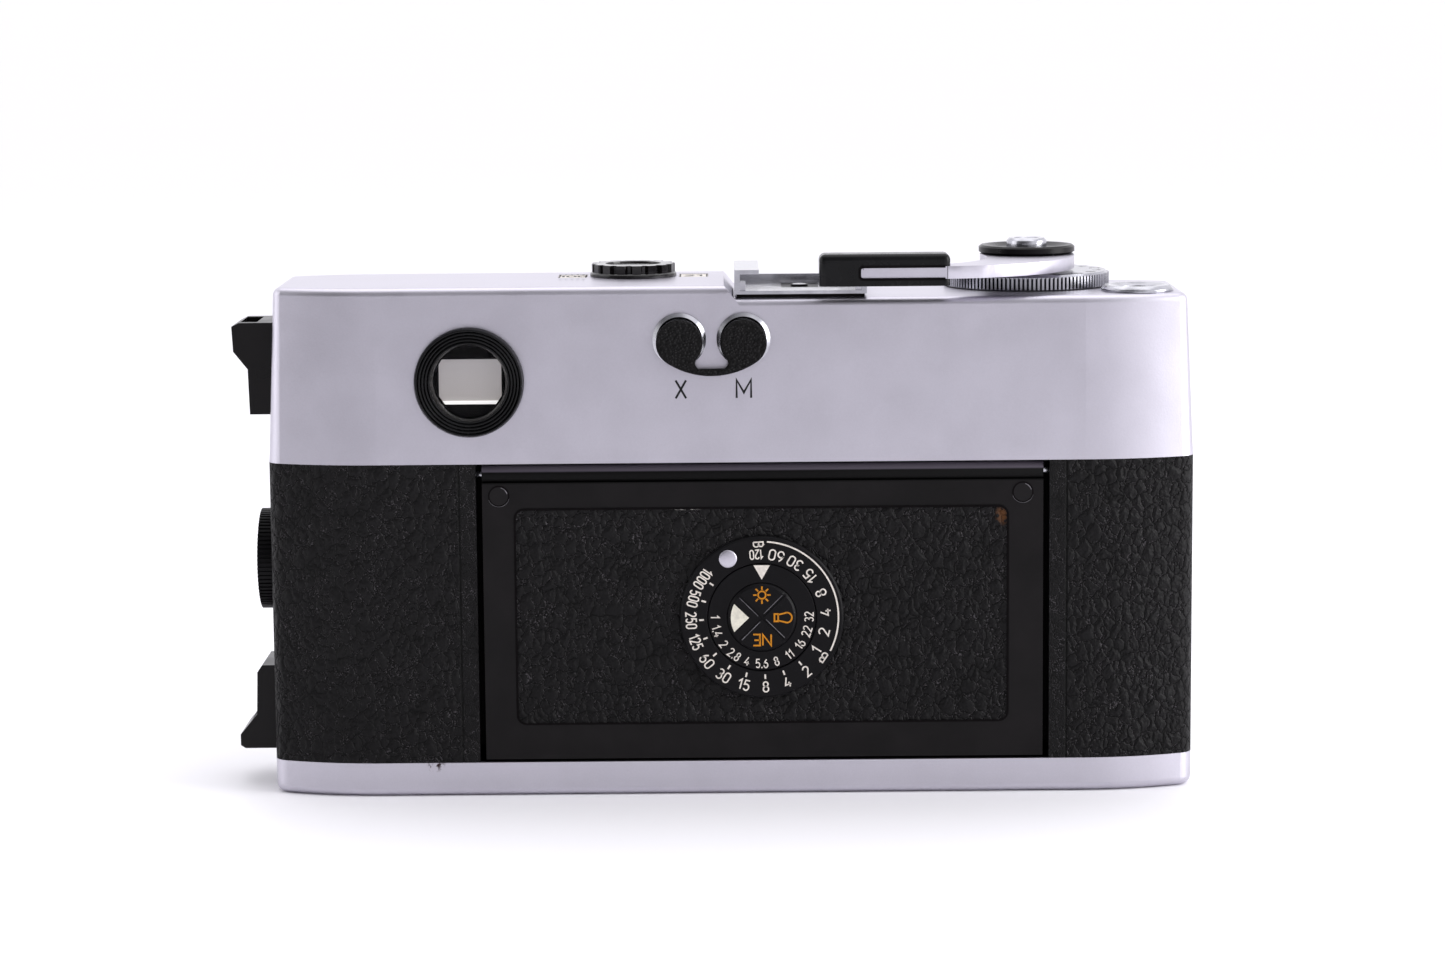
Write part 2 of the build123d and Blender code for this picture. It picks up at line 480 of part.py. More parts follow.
def make_base():
    base = slab(0, 0, BASE_TOP)
    base = fillet(base.edges().group_by(Axis.Z)[0], 1.4)
    base -= slab(BASE_WALL, FLOOR_T, BASE_TOP + 1)
    for x, r, roof in ((CASSETTE_X, CRANK_R + 0.1, 4.6), (KEY_X, KEY_R + 0.1, 3.7)):
        cup = rod_z(x, 0, r + 1.0, FLOOR_T, roof + 1.0)
        base += cup
        base -= rod_z(x, 0, r, -1, roof)
    base -= rod_z(CASSETTE_X, 0, 2.5 + FIT, -1, 10)
    base -= rod_z(KEY_X, 0, 2.0 + FIT, -1, 10)
    base -= rod_z(0, 0, 9.0, -1, 3)
    parts["base_plate"] = base

    bush = turned([(3.2, 0), (9.0, 0), (9.0, FLOOR_T), (6.4, FLOOR_T), (6.4, 6.6), (0, 6.6), (0, 5.4),
                   (3.2, 5.4)])
    parts["tripod_bush"] = bush

    disc = rod_z(CASSETTE_X, 0, CRANK_R, 2.7, 4.5)
    disc -= rod_z(GRIP_X, 0, 2.75, 2, 5)
    disc += rod_z(CASSETTE_X, 0, 2.5, 4.5, 12.0)
    disc += box(CASSETTE_X - 2.3, CASSETTE_X + 2.3, -0.7, 0.7, 12.0, 14.5)
    for side in (-1, 1):
        disc += box(CRANK_HINGE_X - 0.9, CRANK_HINGE_X + 1.2, side * 3.3 - 0.7, side * 3.3 + 0.7, 0.15, 2.7)
    disc += rod_y(CRANK_HINGE_X, CRANK_HINGE_Z, 0.32, -2.7, 2.7)
    parts["crank_disc"] = disc

    length = GRIP_X + 2.4 - CRANK_HINGE_X
    arm = Pos(CRANK_HINGE_X + length / 2 - 0.3, 0, 1.4) * extrude(pill(length + 0.6, 4.6), amount=1.1)
    arm += rod_y(CRANK_HINGE_X, CRANK_HINGE_Z, 0.6, -2.3, 2.3)
    arm += box(CRANK_HINGE_X - 0.45, CRANK_HINGE_X + 0.45, -2.2, 2.2, CRANK_HINGE_Z, 1.6)
    arm -= rod_y(CRANK_HINGE_X, CRANK_HINGE_Z, 0.32 + FIT, -3, 3)
    arm += rod_z(GRIP_X, 0, 0.7, 2.5, 4.35)
    parts["crank_arm"] = arm
    grip = Pos(GRIP_X, 0, 2.56) * extrude(ribbed(2.2, 0.15, 24), amount=1.6) - rod_z(GRIP_X, 0, 0.7 + FIT, 2, 5)
    parts["crank_grip"] = grip

    key = rod_z(KEY_X, 0, KEY_R, 1.7, 3.6) + rod_z(KEY_X, 0, 2.0, 3.6, 5.0)
    key += box(KEY_X - 1.6, KEY_X + 7.5, -1.6, 1.6, 5.0, 5.9)
    for side in (-1, 1):
        key += box(KEY_X - 0.8, KEY_X + 0.8, side * 7.9 - 0.35, side * 7.9 + 0.35, 0.15, 1.7)
    key -= rod_y(KEY_X, BAIL_Z, 0.32 + FIT, -8.4, 8.4) & box(KEY_X - 2, KEY_X + 2, -9, 9, 0, 1.6)
    parts["key_disc"] = key
    ring = rod_z(KEY_X, 0, BAIL_R, 0.25, 1.35) - rod_z(KEY_X, 0, BAIL_R - 1.7, 0, 2)
    ring &= box(KEY_X, KEY_X + 20, -20, 20, 0, 2)
    for side in (-1, 1):
        eye_y = side * (BAIL_R - 0.85)
        ring += rod_y(KEY_X, BAIL_Z, 0.55, eye_y - 0.85, eye_y + 0.85)
    ring += rod_y(KEY_X, BAIL_Z, 0.32, BAIL_R, 8.2) + rod_y(KEY_X, BAIL_Z, 0.32, -8.2, -BAIL_R)
    parts["key_bail"] = ring


# ---- Left end ----------------------------------------------------------------------------
def make_left_end():
    thick, plug = 2.6, 3.4
    cover = extrude(ribbed(8.3, 0.25, 72), amount=thick)
    cover += Cylinder(BATTERY_HOLE_R - 0.1, plug, align=(Align.CENTER, Align.CENTER, Align.MAX))
    cover -= Pos(0, 0, thick) * Box(13.0, 1.6, 1.8)
    parts["battery_cover"] = Pos(-END_X - 0.15, 0, BATTERY_Z) * Rot(0, -90, 0) * cover

    upper = [(-73.0, 61.6), (-78.5, 61.6), (-78.7, 69.0), (-81.0, 71.9), (-81.2, 76.0), (-80.0, 76.6), (-73.0, 76.6)]
    lower = [(-75.0, 20.0), (-77.6, 20.0), (-78.4, 18.8), (-78.6, 11.8), (-81.4, 8.4), (-81.4, 6.6), (-80.6, 6.1),
             (-75.0, 6.1)]
    lugs = []
    for points, slot_z in ((upper, (68.0, 78.0)), (lower, (5.0, 13.0))):
        face = make_face(Polyline(*[(x, -LUG_HALF_Y, z) for x, z in points], close=True))
        lug = extrude(face, amount=2 * LUG_HALF_Y, dir=(0, 1, 0))
        lug -= box(-79.9, -77.2, -4.8, 4.8, *slot_z)
        lugs.append(lug)
    lugs[0] -= drafted(0, BODY_TOP, LOW_DECK)
    parts["strap_lugs"] = lugs[0] + lugs[1]
    return [(-78.55, 0, 65.0), (-78.45, 0, 15.5)]


# ---- Lens and front controls -------------------------------------------------------------
THROAT_R, FLANGE_R = 20.5, 23.6
FLANGE_Y = 17.8
FLANGE_SCREW_R = 22.0


def make_lens():
    seat_r = MOUNT_HOLE_R - 0.1
    flange = turned([(THROAT_R, 14.6), (seat_r, 14.6), (seat_r, BODY_D / 2), (FLANGE_R, BODY_D / 2),
                     (FLANGE_R, FLANGE_Y - 0.2), (FLANGE_R - 0.2, FLANGE_Y), (THROAT_R, FLANGE_Y)])
    parts["lens_flange"] = along_y(flange, LENS_X, LENS_Z)

    barrel = turned([
        (17.5, 15.0), (20.4, 15.0), (20.4, FLANGE_Y), (20.8, FLANGE_Y), (20.8, 19.0), (23.6, 20.0), (23.6, 21.0),
        (20.4, 21.0), (20.4, 33.0), (23.4, 33.0), (23.4, 37.4), (19.8, 37.4), (19.8, 44.0), (21.6, 44.0),
        (21.6, 54.0), (21.2, 54.4), (19.5, 54.4), (19.5, 51.0), (17.6, 50.0), (16.0, 49.2), (16.0, 44.0),
        (17.5, 44.0)])
    parts["lens_barrel"] = along_y(barrel, LENS_X, LENS_Z)
    grip = extrude(ribbed(25.2, 0.9, 24, share=0.5), amount=6.4)
    sleeve = turned([(20.4 + FIT, 21.2), (24.4, 21.2), (24.4, 28.6), (23.9, 29.2), (23.9, 32.8), (20.4 + FIT, 32.8)])
    focus = Pos(0, 0, 21.6) * (grip - Cylinder(20.4 + FIT, 30)) + sleeve
    parts["focus_ring"] = along_y(focus, LENS_X, LENS_Z)
    rings = extrude(ribbed(22.9, 0.45, 48, share=0.5), amount=3.0)
    sleeve = turned([(19.8 + FIT, 37.6), (22.4, 37.6), (22.4, 43.8), (19.8 + FIT, 43.8)])
    aperture = Pos(0, 0, 40.2) * (rings - Cylinder(19.8 + FIT, 20)) + sleeve
    parts["aperture_ring"] = along_y(aperture, LENS_X, LENS_Z)

    def cap_rise(r, bulge):
        """Height above its rim, half-way out, of a spherical cap."""
        ball = (r * r + bulge * bulge) / (2 * bulge)
        side = 1 if bulge > 0 else -1
        return side * (math.sqrt(ball * ball - r * r / 4) - abs(ball)) + bulge

    def dished(r, y0, y1, rear_bulge, front_bulge):
        """A glass element with spherical faces, turned about the lens axis."""
        face = make_face([
            Line((0, 0, y0 - rear_bulge), (0, 0, y1 + front_bulge)),
            ThreePointArc((0, 0, y1 + front_bulge), (r / 2, 0, y1 + cap_rise(r, front_bulge)), (r, 0, y1)),
            Line((r, 0, y1), (r, 0, y0)),
            ThreePointArc((r, 0, y0), (r / 2, 0, y0 - cap_rise(r, rear_bulge)), (0, 0, y0 - rear_bulge)),
        ])
        return along_y(revolve(face, Axis.Z), LENS_X, LENS_Z)

    parts["front_element"] = dished(16.0, 45.0, 47.2, -1.2, 1.8)
    parts["rear_element"] = dished(17.5, 16.5, 18.5, 0.8, 0.8)
    turn = [math.radians(a) for a in (45, 135, 225, 315)]
    return [(LENS_X + FLANGE_SCREW_R * math.cos(a), FLANGE_Y, LENS_Z + FLANGE_SCREW_R * math.sin(a)) for a in turn]


def lever_plate(pivot, length, wide, narrow, y0, y1, stem_to, angle):
    """A front lever: a tapered arm on a pivot stem, hanging at angle from straight down."""
    x, z = pivot
    arm = make_hull([Pos(0, 0) * Circle(wide).edge(), Pos(0, -length) * Circle(narrow).edge()])
    arm = Pos(x, y0, z) * Rot(0, angle, 0) * Rot(90, 0, 0) * extrude(make_face(arm), amount=-(y1 - y0))
    return arm + rod_y(x, z, 2.0, stem_to, y0)


def make_front_controls():
    face = BODY_D / 2
    parts["frame_selector"] = lever_plate(SELECTOR, 13.0, 3.4, 2.0, face + 0.15, face + 2.4, 12.0, 15)
    parts["self_timer_lever"] = lever_plate(TIMER, 15.5, 4.2, 2.4, face + 0.15, face + 3.0, 14.6, 0)
    parts["rewind_release"] = lever_plate(RELEASE_LEVER, 8.0, 3.0, 2.1, face + 0.15, face + 2.2, 12.0, 0)
    x, z = LENS_BUTTON
    parts["lens_release_button"] = rod_y(x, z, 4.0, 16.2, face + 2.1) + rod_y(x, z, 1.6, 13.7, 16.2)


def sink_screws(node, places, turn):
    """Cuts a seat in the node for one small slotted screw at each place, and makes the screws."""
    made = []
    for place in places:
        at = Pos(*place) * turn
        head = Cylinder(1.1, 0.5, align=(Align.CENTER, Align.CENTER, Align.MAX))
        parts[node] -= at * head
        made.append((at * (head - Box(2.4, 0.3, 0.4))).solid())
    return made


# ---- Assembly ----------------------------------------------------------------------------
make_casing()
make_film_path()
make_top_plate()
make_eyepiece()
make_sync_sockets()
screws = sink_screws("shoe_rail", make_shoe(), Rot(0, 0, 0))
make_wind_group()
make_dials()
make_back_door()
make_base()
screws += sink_screws("strap_lugs", make_left_end(), Rot(0, -90, 0))
screws += sink_screws("lens_flange", make_lens(), Rot(-90, 0, 0))
make_front_controls()
parts["case_screws"] = Compound(children=screws)

os.makedirs("parts", exist_ok=True)
for name, shape in parts.items():
    export_step(shape if isinstance(shape, Compound) else Compound(children=shape.solids()), f"parts/{name}.step")
print(len(parts), "nodes")
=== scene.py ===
import bmesh
import bpy
import math
from bpy.props import FloatProperty, FloatVectorProperty, IntProperty, PointerProperty
from mathutils import Matrix, Vector


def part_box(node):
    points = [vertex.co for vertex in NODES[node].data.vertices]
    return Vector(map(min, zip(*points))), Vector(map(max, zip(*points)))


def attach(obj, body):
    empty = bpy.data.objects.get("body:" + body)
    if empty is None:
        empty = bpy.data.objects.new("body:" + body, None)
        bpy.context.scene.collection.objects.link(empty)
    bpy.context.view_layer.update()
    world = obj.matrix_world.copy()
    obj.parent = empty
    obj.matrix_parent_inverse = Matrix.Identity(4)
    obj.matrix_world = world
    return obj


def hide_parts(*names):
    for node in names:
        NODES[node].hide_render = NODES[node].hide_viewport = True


bl_info = {
    "name": "Rangefinder camera",
    "version": (1, 0, 0),
    "blender": (4, 5, 0),
    "location": "3D View > Sidebar > Rangefinder",
    "description": "Finishes a 35 mm rangefinder camera: coverings, prints, glass, controls, studio",
    "category": "Object",
}

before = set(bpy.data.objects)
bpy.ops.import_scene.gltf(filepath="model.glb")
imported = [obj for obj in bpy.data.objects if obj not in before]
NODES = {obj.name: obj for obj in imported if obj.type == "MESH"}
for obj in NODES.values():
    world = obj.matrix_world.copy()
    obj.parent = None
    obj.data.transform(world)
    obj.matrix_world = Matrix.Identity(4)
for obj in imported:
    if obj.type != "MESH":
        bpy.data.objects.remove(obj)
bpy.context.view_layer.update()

MM = 0.001
PRINT_RISE = 0.02 * MM
Y = Vector((0, 1, 0))
Z = Vector((0, 0, 1))


# ---- Places taken from the frame ----------------------------------------------------------
def low(node):
    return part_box(node)[0]


def high(node):
    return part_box(node)[1]


def middle(node):
    return (low(node) + high(node)) / 2


def heading(angle):
    """The unit vector at an angle in the drawing plane."""
    return Vector((math.cos(angle), math.sin(angle)))


def linear(code):
    """The linear colour of an sRGB hex code."""
    parts = [int(code[i:i + 2], 16) / 255 for i in (0, 2, 4)]
    return tuple(c / 12.92 if c <= 0.04045 else ((c + 0.055) / 1.055) ** 2.4 for c in parts)


# ---- What a user would change -------------------------------------------------------------
def length(name, about, millimetres):
    return FloatProperty(name=name, description=about, default=millimetres * MM, unit="LENGTH",
                         precision=5)


def colour(name, about, code):
    return FloatVectorProperty(name=name, description=about, default=linear(code), subtype="COLOR",
                               size=3)


class RangefinderSizes(bpy.types.PropertyGroup):
    edge: length("Edge break", "Width of the small bevel on machined edges", 0.16)
    grain_wide: length("Grain width", "Width of one cell of the leathercloth's grain", 1.7)
    grain_tall: length("Grain height", "Height of one cell of the leathercloth's grain", 2.3)
    grain_deep: length("Grain depth", "Depth of the creases between the cells", 0.42)
    blast_grit: length("Blasting grit", "Spacing of the pits in the blasted chrome", 0.3)
    figure: length("Dial figure", "Height of the figures on the exposure dial's scale", 1.64)
    small_figure: length("Small figure", "Height of the figures on the exposure dial's disc", 1.36)
    wall_lean: FloatProperty(
        name="Wall lean", description="Inward lean of the top plate per unit of height", default=0.046)
    dial_step: FloatProperty(
        name="Dial step", description="Angle between two stops on the exposure dial",
        default=math.radians(18.1), subtype="ANGLE")
    blades: IntProperty(
        name="Iris blades", description="Number of blades in the lens's iris", default=10)


class RangefinderColours(bpy.types.PropertyGroup):
    silver: colour("Silver", "Blasted chrome of the top and base", "C6C3CD")
    leather: colour("Leathercloth", "Covering of the body and door", "100F10")
    enamel: colour("Enamel", "Stoved enamel on the door's frame", "0C0A0B")
    anodised: colour("Anodised", "Black anodised dials and rings", "0C0B0D")
    plastic: colour("Plastic", "Moulded lever tip and eyepiece", "0C0C0D")
    rubber: colour("Rubber", "Cap over the flash sockets", "090809")
    print_white: colour("White print", "Figures and marks on the dials", "E6DFD6")
    print_orange: colour("Orange print", "Film-type signs on the dial", "C98000")
    print_cream: colour("Cream print", "The pointer on the film-type knob", "E6E2D2")
    engraving: colour("Engraving", "Paint in the engraved letters", "101012")
    signal: colour("Signal red", "Alignment dot on the lens", "B3201C")
    floor: colour("Floor", "Paper under the camera", "FBFAFD")


def sizes():
    return bpy.context.scene.rangefinder_sizes


def colours():
    return bpy.context.scene.rangefinder_colours


# ---- Shader nodes -------------------------------------------------------------------------
def feed(tree, node, inputs):
    """Gives a node's inputs, by name or place, a value, a colour, a socket or a node's first output."""
    for key, value in inputs.items() if isinstance(inputs, dict) else enumerate(inputs):
        named = [socket for socket in node.inputs if socket.name == key and socket.enabled]
        socket = named[0] if named else node.inputs[key]
        if isinstance(value, bpy.types.Node):
            value = next(output for output in value.outputs if output.enabled)
        if isinstance(value, bpy.types.NodeSocket):
            tree.links.new(value, socket)
        elif socket.type == "RGBA":
            socket.default_value = (*value[:3], 1)
        else:
            socket.default_value = value


def add(tree, kind, inputs=(), **settings):
    """Adds a node with its own settings, and feeds its inputs."""
    made = tree.nodes.new("ShaderNode" + kind)
    for name, value in settings.items():
        setattr(made, name, value)
    feed(tree, made, inputs)
    return made


def start(name, inputs):
    """A new material, its tree, its main shader with these inputs set, and the point on the object."""
    made = bpy.data.materials.new(name)
    made.use_nodes = True
    tree = made.node_tree
    tree.nodes.clear()
    shader = add(tree, "BsdfPrincipled", inputs)
    add(tree, "OutputMaterial", {"Surface": shader})
    point = add(tree, "TexCoord").outputs["Object"]
    return made, tree, shader, point


def shade(tone, factor):
    return tuple(c * factor for c in tone)


# ---- Patterns that several finishes share --------------------------------------------------
def handled(tree, shader, tones, roughness, spacing, spread=0.05):
    """Lets colour and roughness drift a little over the surface, as handling does."""
    point = add(tree, "TexCoord").outputs["Object"]
    drift = add(tree, "TexNoise", {"Vector": point, "Scale": 1 / spacing, "Detail": 3.0})
    share = add(tree, "MapRange", (drift, 0.35, 0.65, 0, 1))
    tone = add(tree, "Mix", {"Factor": share, "A": tones[0], "B": tones[1]}, data_type="RGBA")
    rough = add(tree, "MapRange", (drift, 0.3, 0.7, roughness - spread, roughness + spread))
    feed(tree, shader, {"Base Color": tone, "Roughness": rough})


def pressed(tree, shader, point, spacing, depth, stretch=(1, 1, 1), strength=0.5):
    """Presses fine marks, spacing metres apart and depth metres deep, into the surface."""
    at = add(tree, "VectorMath", (point, stretch), operation="MULTIPLY")
    marks = add(tree, "TexNoise", {"Vector": at, "Scale": 1 / spacing, "Detail": 2.0})
    bump = add(tree, "Bump", {"Height": marks, "Distance": depth, "Strength": strength})
    feed(tree, shader, {"Normal": bump})


def between(tree, value, start_at, stop_at, soft):
    """1 where value lies between two limits, 0 outside, with soft edges."""
    up = add(tree, "MapRange", (value, start_at - soft, start_at + soft, 0, 1))
    down = add(tree, "MapRange", (value, stop_at - soft, stop_at + soft, 1, 0))
    return add(tree, "Math", (up, down), operation="MULTIPLY")


def spot(tree, point, centre, radii, grain, cover):
    """Ragged marks at a place: 1 in the marks and 0 beyond the radii; a lower cover fills more."""
    away = add(tree, "VectorMath", (point, centre), operation="SUBTRACT")
    scaled = add(tree, "VectorMath", (away, tuple(1 / r for r in radii)), operation="MULTIPLY")
    far = add(tree, "VectorMath", (scaled,), operation="LENGTH")
    near = add(tree, "MapRange", (far, 0.35, 1.0, 1, 0))
    ragged = add(tree, "TexNoise", {"Vector": point, "Scale": 1 / grain, "Detail": 3.0})
    marks = add(tree, "MapRange", (ragged, cover, cover + 0.08, 0, 1))
    return add(tree, "Math", (near, marks), operation="MULTIPLY")


# ---- Finishes -----------------------------------------------------------------------------
def satin_chrome(name="satin_chrome", scuffed=None):
    """Chrome plate over bead-blasted brass: a soft, cold silver with a fine sandy sparkle.
    Real bead marks are too fine to show, so they are drawn as coarse as they need to be."""
    made, tree, shader, point = start(name, {"Metallic": 1.0})
    tone = tuple(colours().silver)
    grit = add(tree, "TexNoise", {"Vector": point, "Scale": 1 / sizes().blast_grit, "Detail": 3.0})
    drift = add(tree, "TexNoise", {"Vector": point, "Scale": 1 / (8 * MM), "Detail": 3.0})
    cloudy = add(tree, "Math", (grit, 0.35, add(tree, "Math", (drift, 0.65), operation="MULTIPLY")),
                 operation="MULTIPLY_ADD")
    share = add(tree, "MapRange", (cloudy, 0.36, 0.64, 0, 1))
    base = add(tree, "Mix", {"Factor": share, "A": shade(tone, 0.93), "B": tone}, data_type="RGBA")
    rough = add(tree, "MapRange", (drift, 0.3, 0.7, 0.36, 0.42))
    if scuffed:
        dirt = spot(tree, point, *scuffed, 0.7 * MM, 0.5)
        base = add(tree, "Mix", {"Factor": dirt, "A": base, "B": linear("3A2A2C")}, data_type="RGBA")
        rough = add(tree, "Math", (dirt, 0.3, rough), operation="MULTIPLY_ADD")
    bump = add(tree, "Bump", {"Height": grit, "Distance": 0.03 * MM, "Strength": 0.4})
    feed(tree, shader, {"Base Color": base, "Roughness": rough, "Normal": bump})
    return made


def scuffed_chrome():
    """The base plate's blasted chrome, with a brown rub mark near its rear left edge."""
    lo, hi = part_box("base_plate")
    at = (lo.x + 26.5 * MM, lo.y, hi.z - 0.2 * MM)
    return satin_chrome("scuffed_chrome", (at, (1.9 * MM, 3 * MM, 1.5 * MM)))


def turned_chrome():
    """Chrome plate on turned steel: mirror-bright, with the tool's faint marks running round."""
    made, tree, shader, point = start("turned_chrome", {"Metallic": 1.0})
    handled(tree, shader, (linear("9E9EA4"), linear("BDBDC3")), 0.2, 3 * MM, 0.05)
    pressed(tree, shader, point, 0.3 * MM, 0.004 * MM, (0.25, 0.25, 3), 0.4)
    return made


def knurled_chrome():
    """Chrome plate on straight knurling: bright ribs, with painted shade darkening the grooves between
    them.
    """
    made, tree, shader, point = start("knurled_chrome", {"Metallic": 1.0, "Roughness": 0.24})
    lo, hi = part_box("speed_dial")
    centre, rim = (lo + hi) / 2, (hi.x - lo.x) / 2
    away = add(tree, "VectorMath", (point, tuple(centre)), operation="SUBTRACT")
    level = add(tree, "VectorMath", (away, (1, 1, 0)), operation="MULTIPLY")
    far = add(tree, "VectorMath", (level,), operation="LENGTH")
    rib_deep, chamfer = 0.25 * MM, 0.4 * MM
    sunk_shade = add(tree, "MapRange", (far, rim - rib_deep, rim - 0.05 * MM, 1, 0))
    height = add(tree, "SeparateXYZ", (point,)).outputs["Z"]
    side = add(tree, "MapRange", (height, hi.z - chamfer - 0.2 * MM, hi.z - chamfer, 1, 0))
    groove = add(tree, "Math", (sunk_shade, side), operation="MULTIPLY")
    drift = add(tree, "TexNoise", {"Vector": point, "Scale": 1 / (3 * MM), "Detail": 3.0})
    tones = {"Factor": drift, "A": linear("8C8C92"), "B": linear("B4B4BA")}
    plate = add(tree, "Mix", tones, data_type="RGBA")
    # painted shade: the grooves, below the rib tops and below the top chamfer, are mixed towards dark
    # grey to stand for their shadow
    base = add(tree, "Mix", {"Factor": groove, "A": plate, "B": linear("242428")}, data_type="RGBA")
    feed(tree, shader, {"Base Color": base})
    pressed(tree, shader, point, 0.3 * MM, 0.004 * MM, (0.25, 0.25, 3), 0.4)
    return made


def leathercloth(door=False):
    """Vulcanised leathercloth, embossed with a grain: near black, its raised cells taller than wide,
    with thin creases between them in painted shade, and painted highlights on their lips as short curved
    glints."""
    name = "leathercloth_door" if door else "leathercloth_body"
    made, tree, shader, point = start(name, {"Specular IOR Level": 0.13})
    s = sizes()
    tone = tuple(colours().leather)
    warp = add(tree, "TexNoise", {"Vector": point, "Scale": 1 / (1.6 * MM), "Detail": 2.0})
    bend = add(tree, "VectorMath", (warp.outputs["Color"], (0.5, 0.5, 0.5)), operation="SUBTRACT")
    push = add(tree, "VectorMath", (bend, (1.1, 1.1, 1.1)), operation="MULTIPLY")
    per_cell = (1 / s.grain_wide, 1 / s.grain_wide, 1 / s.grain_tall)
    grid = add(tree, "VectorMath", (point, per_cell), operation="MULTIPLY")
    at = add(tree, "VectorMath", (grid, push), operation="ADD")
    cells = add(tree, "TexVoronoi", {"Vector": at, "Scale": 1.0}, feature="DISTANCE_TO_EDGE")
    patchy = add(tree, "TexNoise", {"Vector": point, "Scale": 1 / (3.5 * MM), "Detail": 2.0})
    fine = add(tree, "TexNoise", {"Vector": point, "Scale": 1 / (0.22 * MM), "Detail": 3.0})
    crease = add(tree, "MapRange", (cells, 0.0, 0.1), interpolation_type="SMOOTHSTEP")
    crown = add(tree, "MapRange", (cells, 0.0, 0.45), interpolation_type="SMOOTHSTEP")
    firm = add(tree, "MapRange", (patchy, 0.35, 0.65, 0.35, 0.8))
    sides = add(tree, "Math", (crease, firm), operation="MULTIPLY")
    domed = add(tree, "Math", (crown, 0.5, sides), operation="MULTIPLY_ADD")
    height = add(tree, "Math", (fine, 0.13, domed), operation="MULTIPLY_ADD")
    # painted shade: the creases between the cells are darkened to a quarter of the tone
    base = add(tree, "Mix", {"Factor": crease, "A": shade(tone, 0.25), "B": tone}, data_type="RGBA")
    # painted highlight: patches along the crease lips are raised far above the tone as short glints
    ragged = add(tree, "MapRange", (fine, 0.46, 0.6, 0, 1))
    where = add(tree, "MapRange", (patchy, 0.36, 0.56, 0.0, 1.0))
    glint_patches = add(tree, "Math", (ragged, where), operation="MULTIPLY")
    lip_glint = add(tree, "Math", (between(tree, cells, 0.035, 0.07, 0.015), glint_patches), operation="MULTIPLY")
    base = add(tree, "Mix", {"Factor": lip_glint, "A": base, "B": shade(tone, 14.0)}, data_type="RGBA")
    if door:
        lo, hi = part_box("door_leather")
        corner = (hi.x - 0.9 * MM, lo.y, hi.z - 1.5 * MM)
        rust = spot(tree, point, corner, (1.3 * MM, 9 * MM, 1.9 * MM), 0.8 * MM, 0.38)
        base = add(tree, "Mix", {"Factor": rust, "A": base, "B": linear("50321A")}, data_type="RGBA")
        upper_edge = (lo.x + 27.5 * MM, lo.y, hi.z)
        chips = spot(tree, point, upper_edge, (3.4 * MM, 9 * MM, 0.35 * MM), 0.5 * MM, 0.46)
        base = add(tree, "Mix", {"Factor": chips, "A": base, "B": linear("D6D3CD")}, data_type="RGBA")
    else:
        strips, seam = seam_masks(tree, point)
        kept = add(tree, "MapRange", (strips, 0, 1, 1, 0.3))
        flat = add(tree, "Math", (height, kept), operation="MULTIPLY")
        finer = add(tree, "Math", (strips, fine), operation="MULTIPLY")
        both = add(tree, "Math", (finer, 0.6, flat), operation="MULTIPLY_ADD")
        height = add(tree, "Math", (seam, -1.4, both), operation="MULTIPLY_ADD")
        base = add(tree, "Mix", {"Factor": seam, "A": base, "B": shade(tone, 0.1)}, data_type="RGBA")
    rough = add(tree, "MapRange", (height, 0, 1.5, 0.62, 0.42))
    bump = add(tree, "Bump", {"Height": height, "Distance": s.grain_deep, "Strength": 1.0})
    feed(tree, shader, {"Base Color": base, "Roughness": rough, "Normal": bump})
    return made


def seam_masks(tree, point):
    """The flatter strips of covering either side of the door, and the seams where they end."""
    at = add(tree, "SeparateXYZ", (point,)).outputs
    rear_face, corner = -13.0 * MM, 0.5 * MM
    behind = add(tree, "MapRange", (at["Y"], rear_face, rear_face + corner, 1, 0))
    left, right = low("door_frame").x, high("door_frame").x
    strip, seam_width, soft = 3.6 * MM, 0.3 * MM, 0.08 * MM
    masks = []
    for inner, outer in ((0.0, strip), (strip, strip + seam_width)):
        one = between(tree, at["X"], left - outer, left - inner, soft)
        other = between(tree, at["X"], right + inner, right + outer, soft)
        both = add(tree, "Math", (one, other), operation="ADD")
        masks.append(add(tree, "Math", (both, behind), operation="MULTIPLY"))
    return masks


def black_finish(name, code, level, roughness, spacing, marks, depth, lighter=1.6):
    """A black coating: its tone, how strongly it mirrors, how matt it is, and the marks in it."""
    made, tree, shader, point = start(name, {"Specular IOR Level": level})
    tone = tuple(code)
    handled(tree, shader, (tone, shade(tone, lighter)), roughness, spacing)
    pressed(tree, shader, point, marks, depth)
    return made


def stoved_enamel():
    """Black stoved enamel on brass: deep and smooth with a faint warm cast, rubbed in streaks."""
    return black_finish("stoved_enamel", colours().enamel, 0.16, 0.3, 7 * MM, 1.6 * MM, 0.01 * MM)


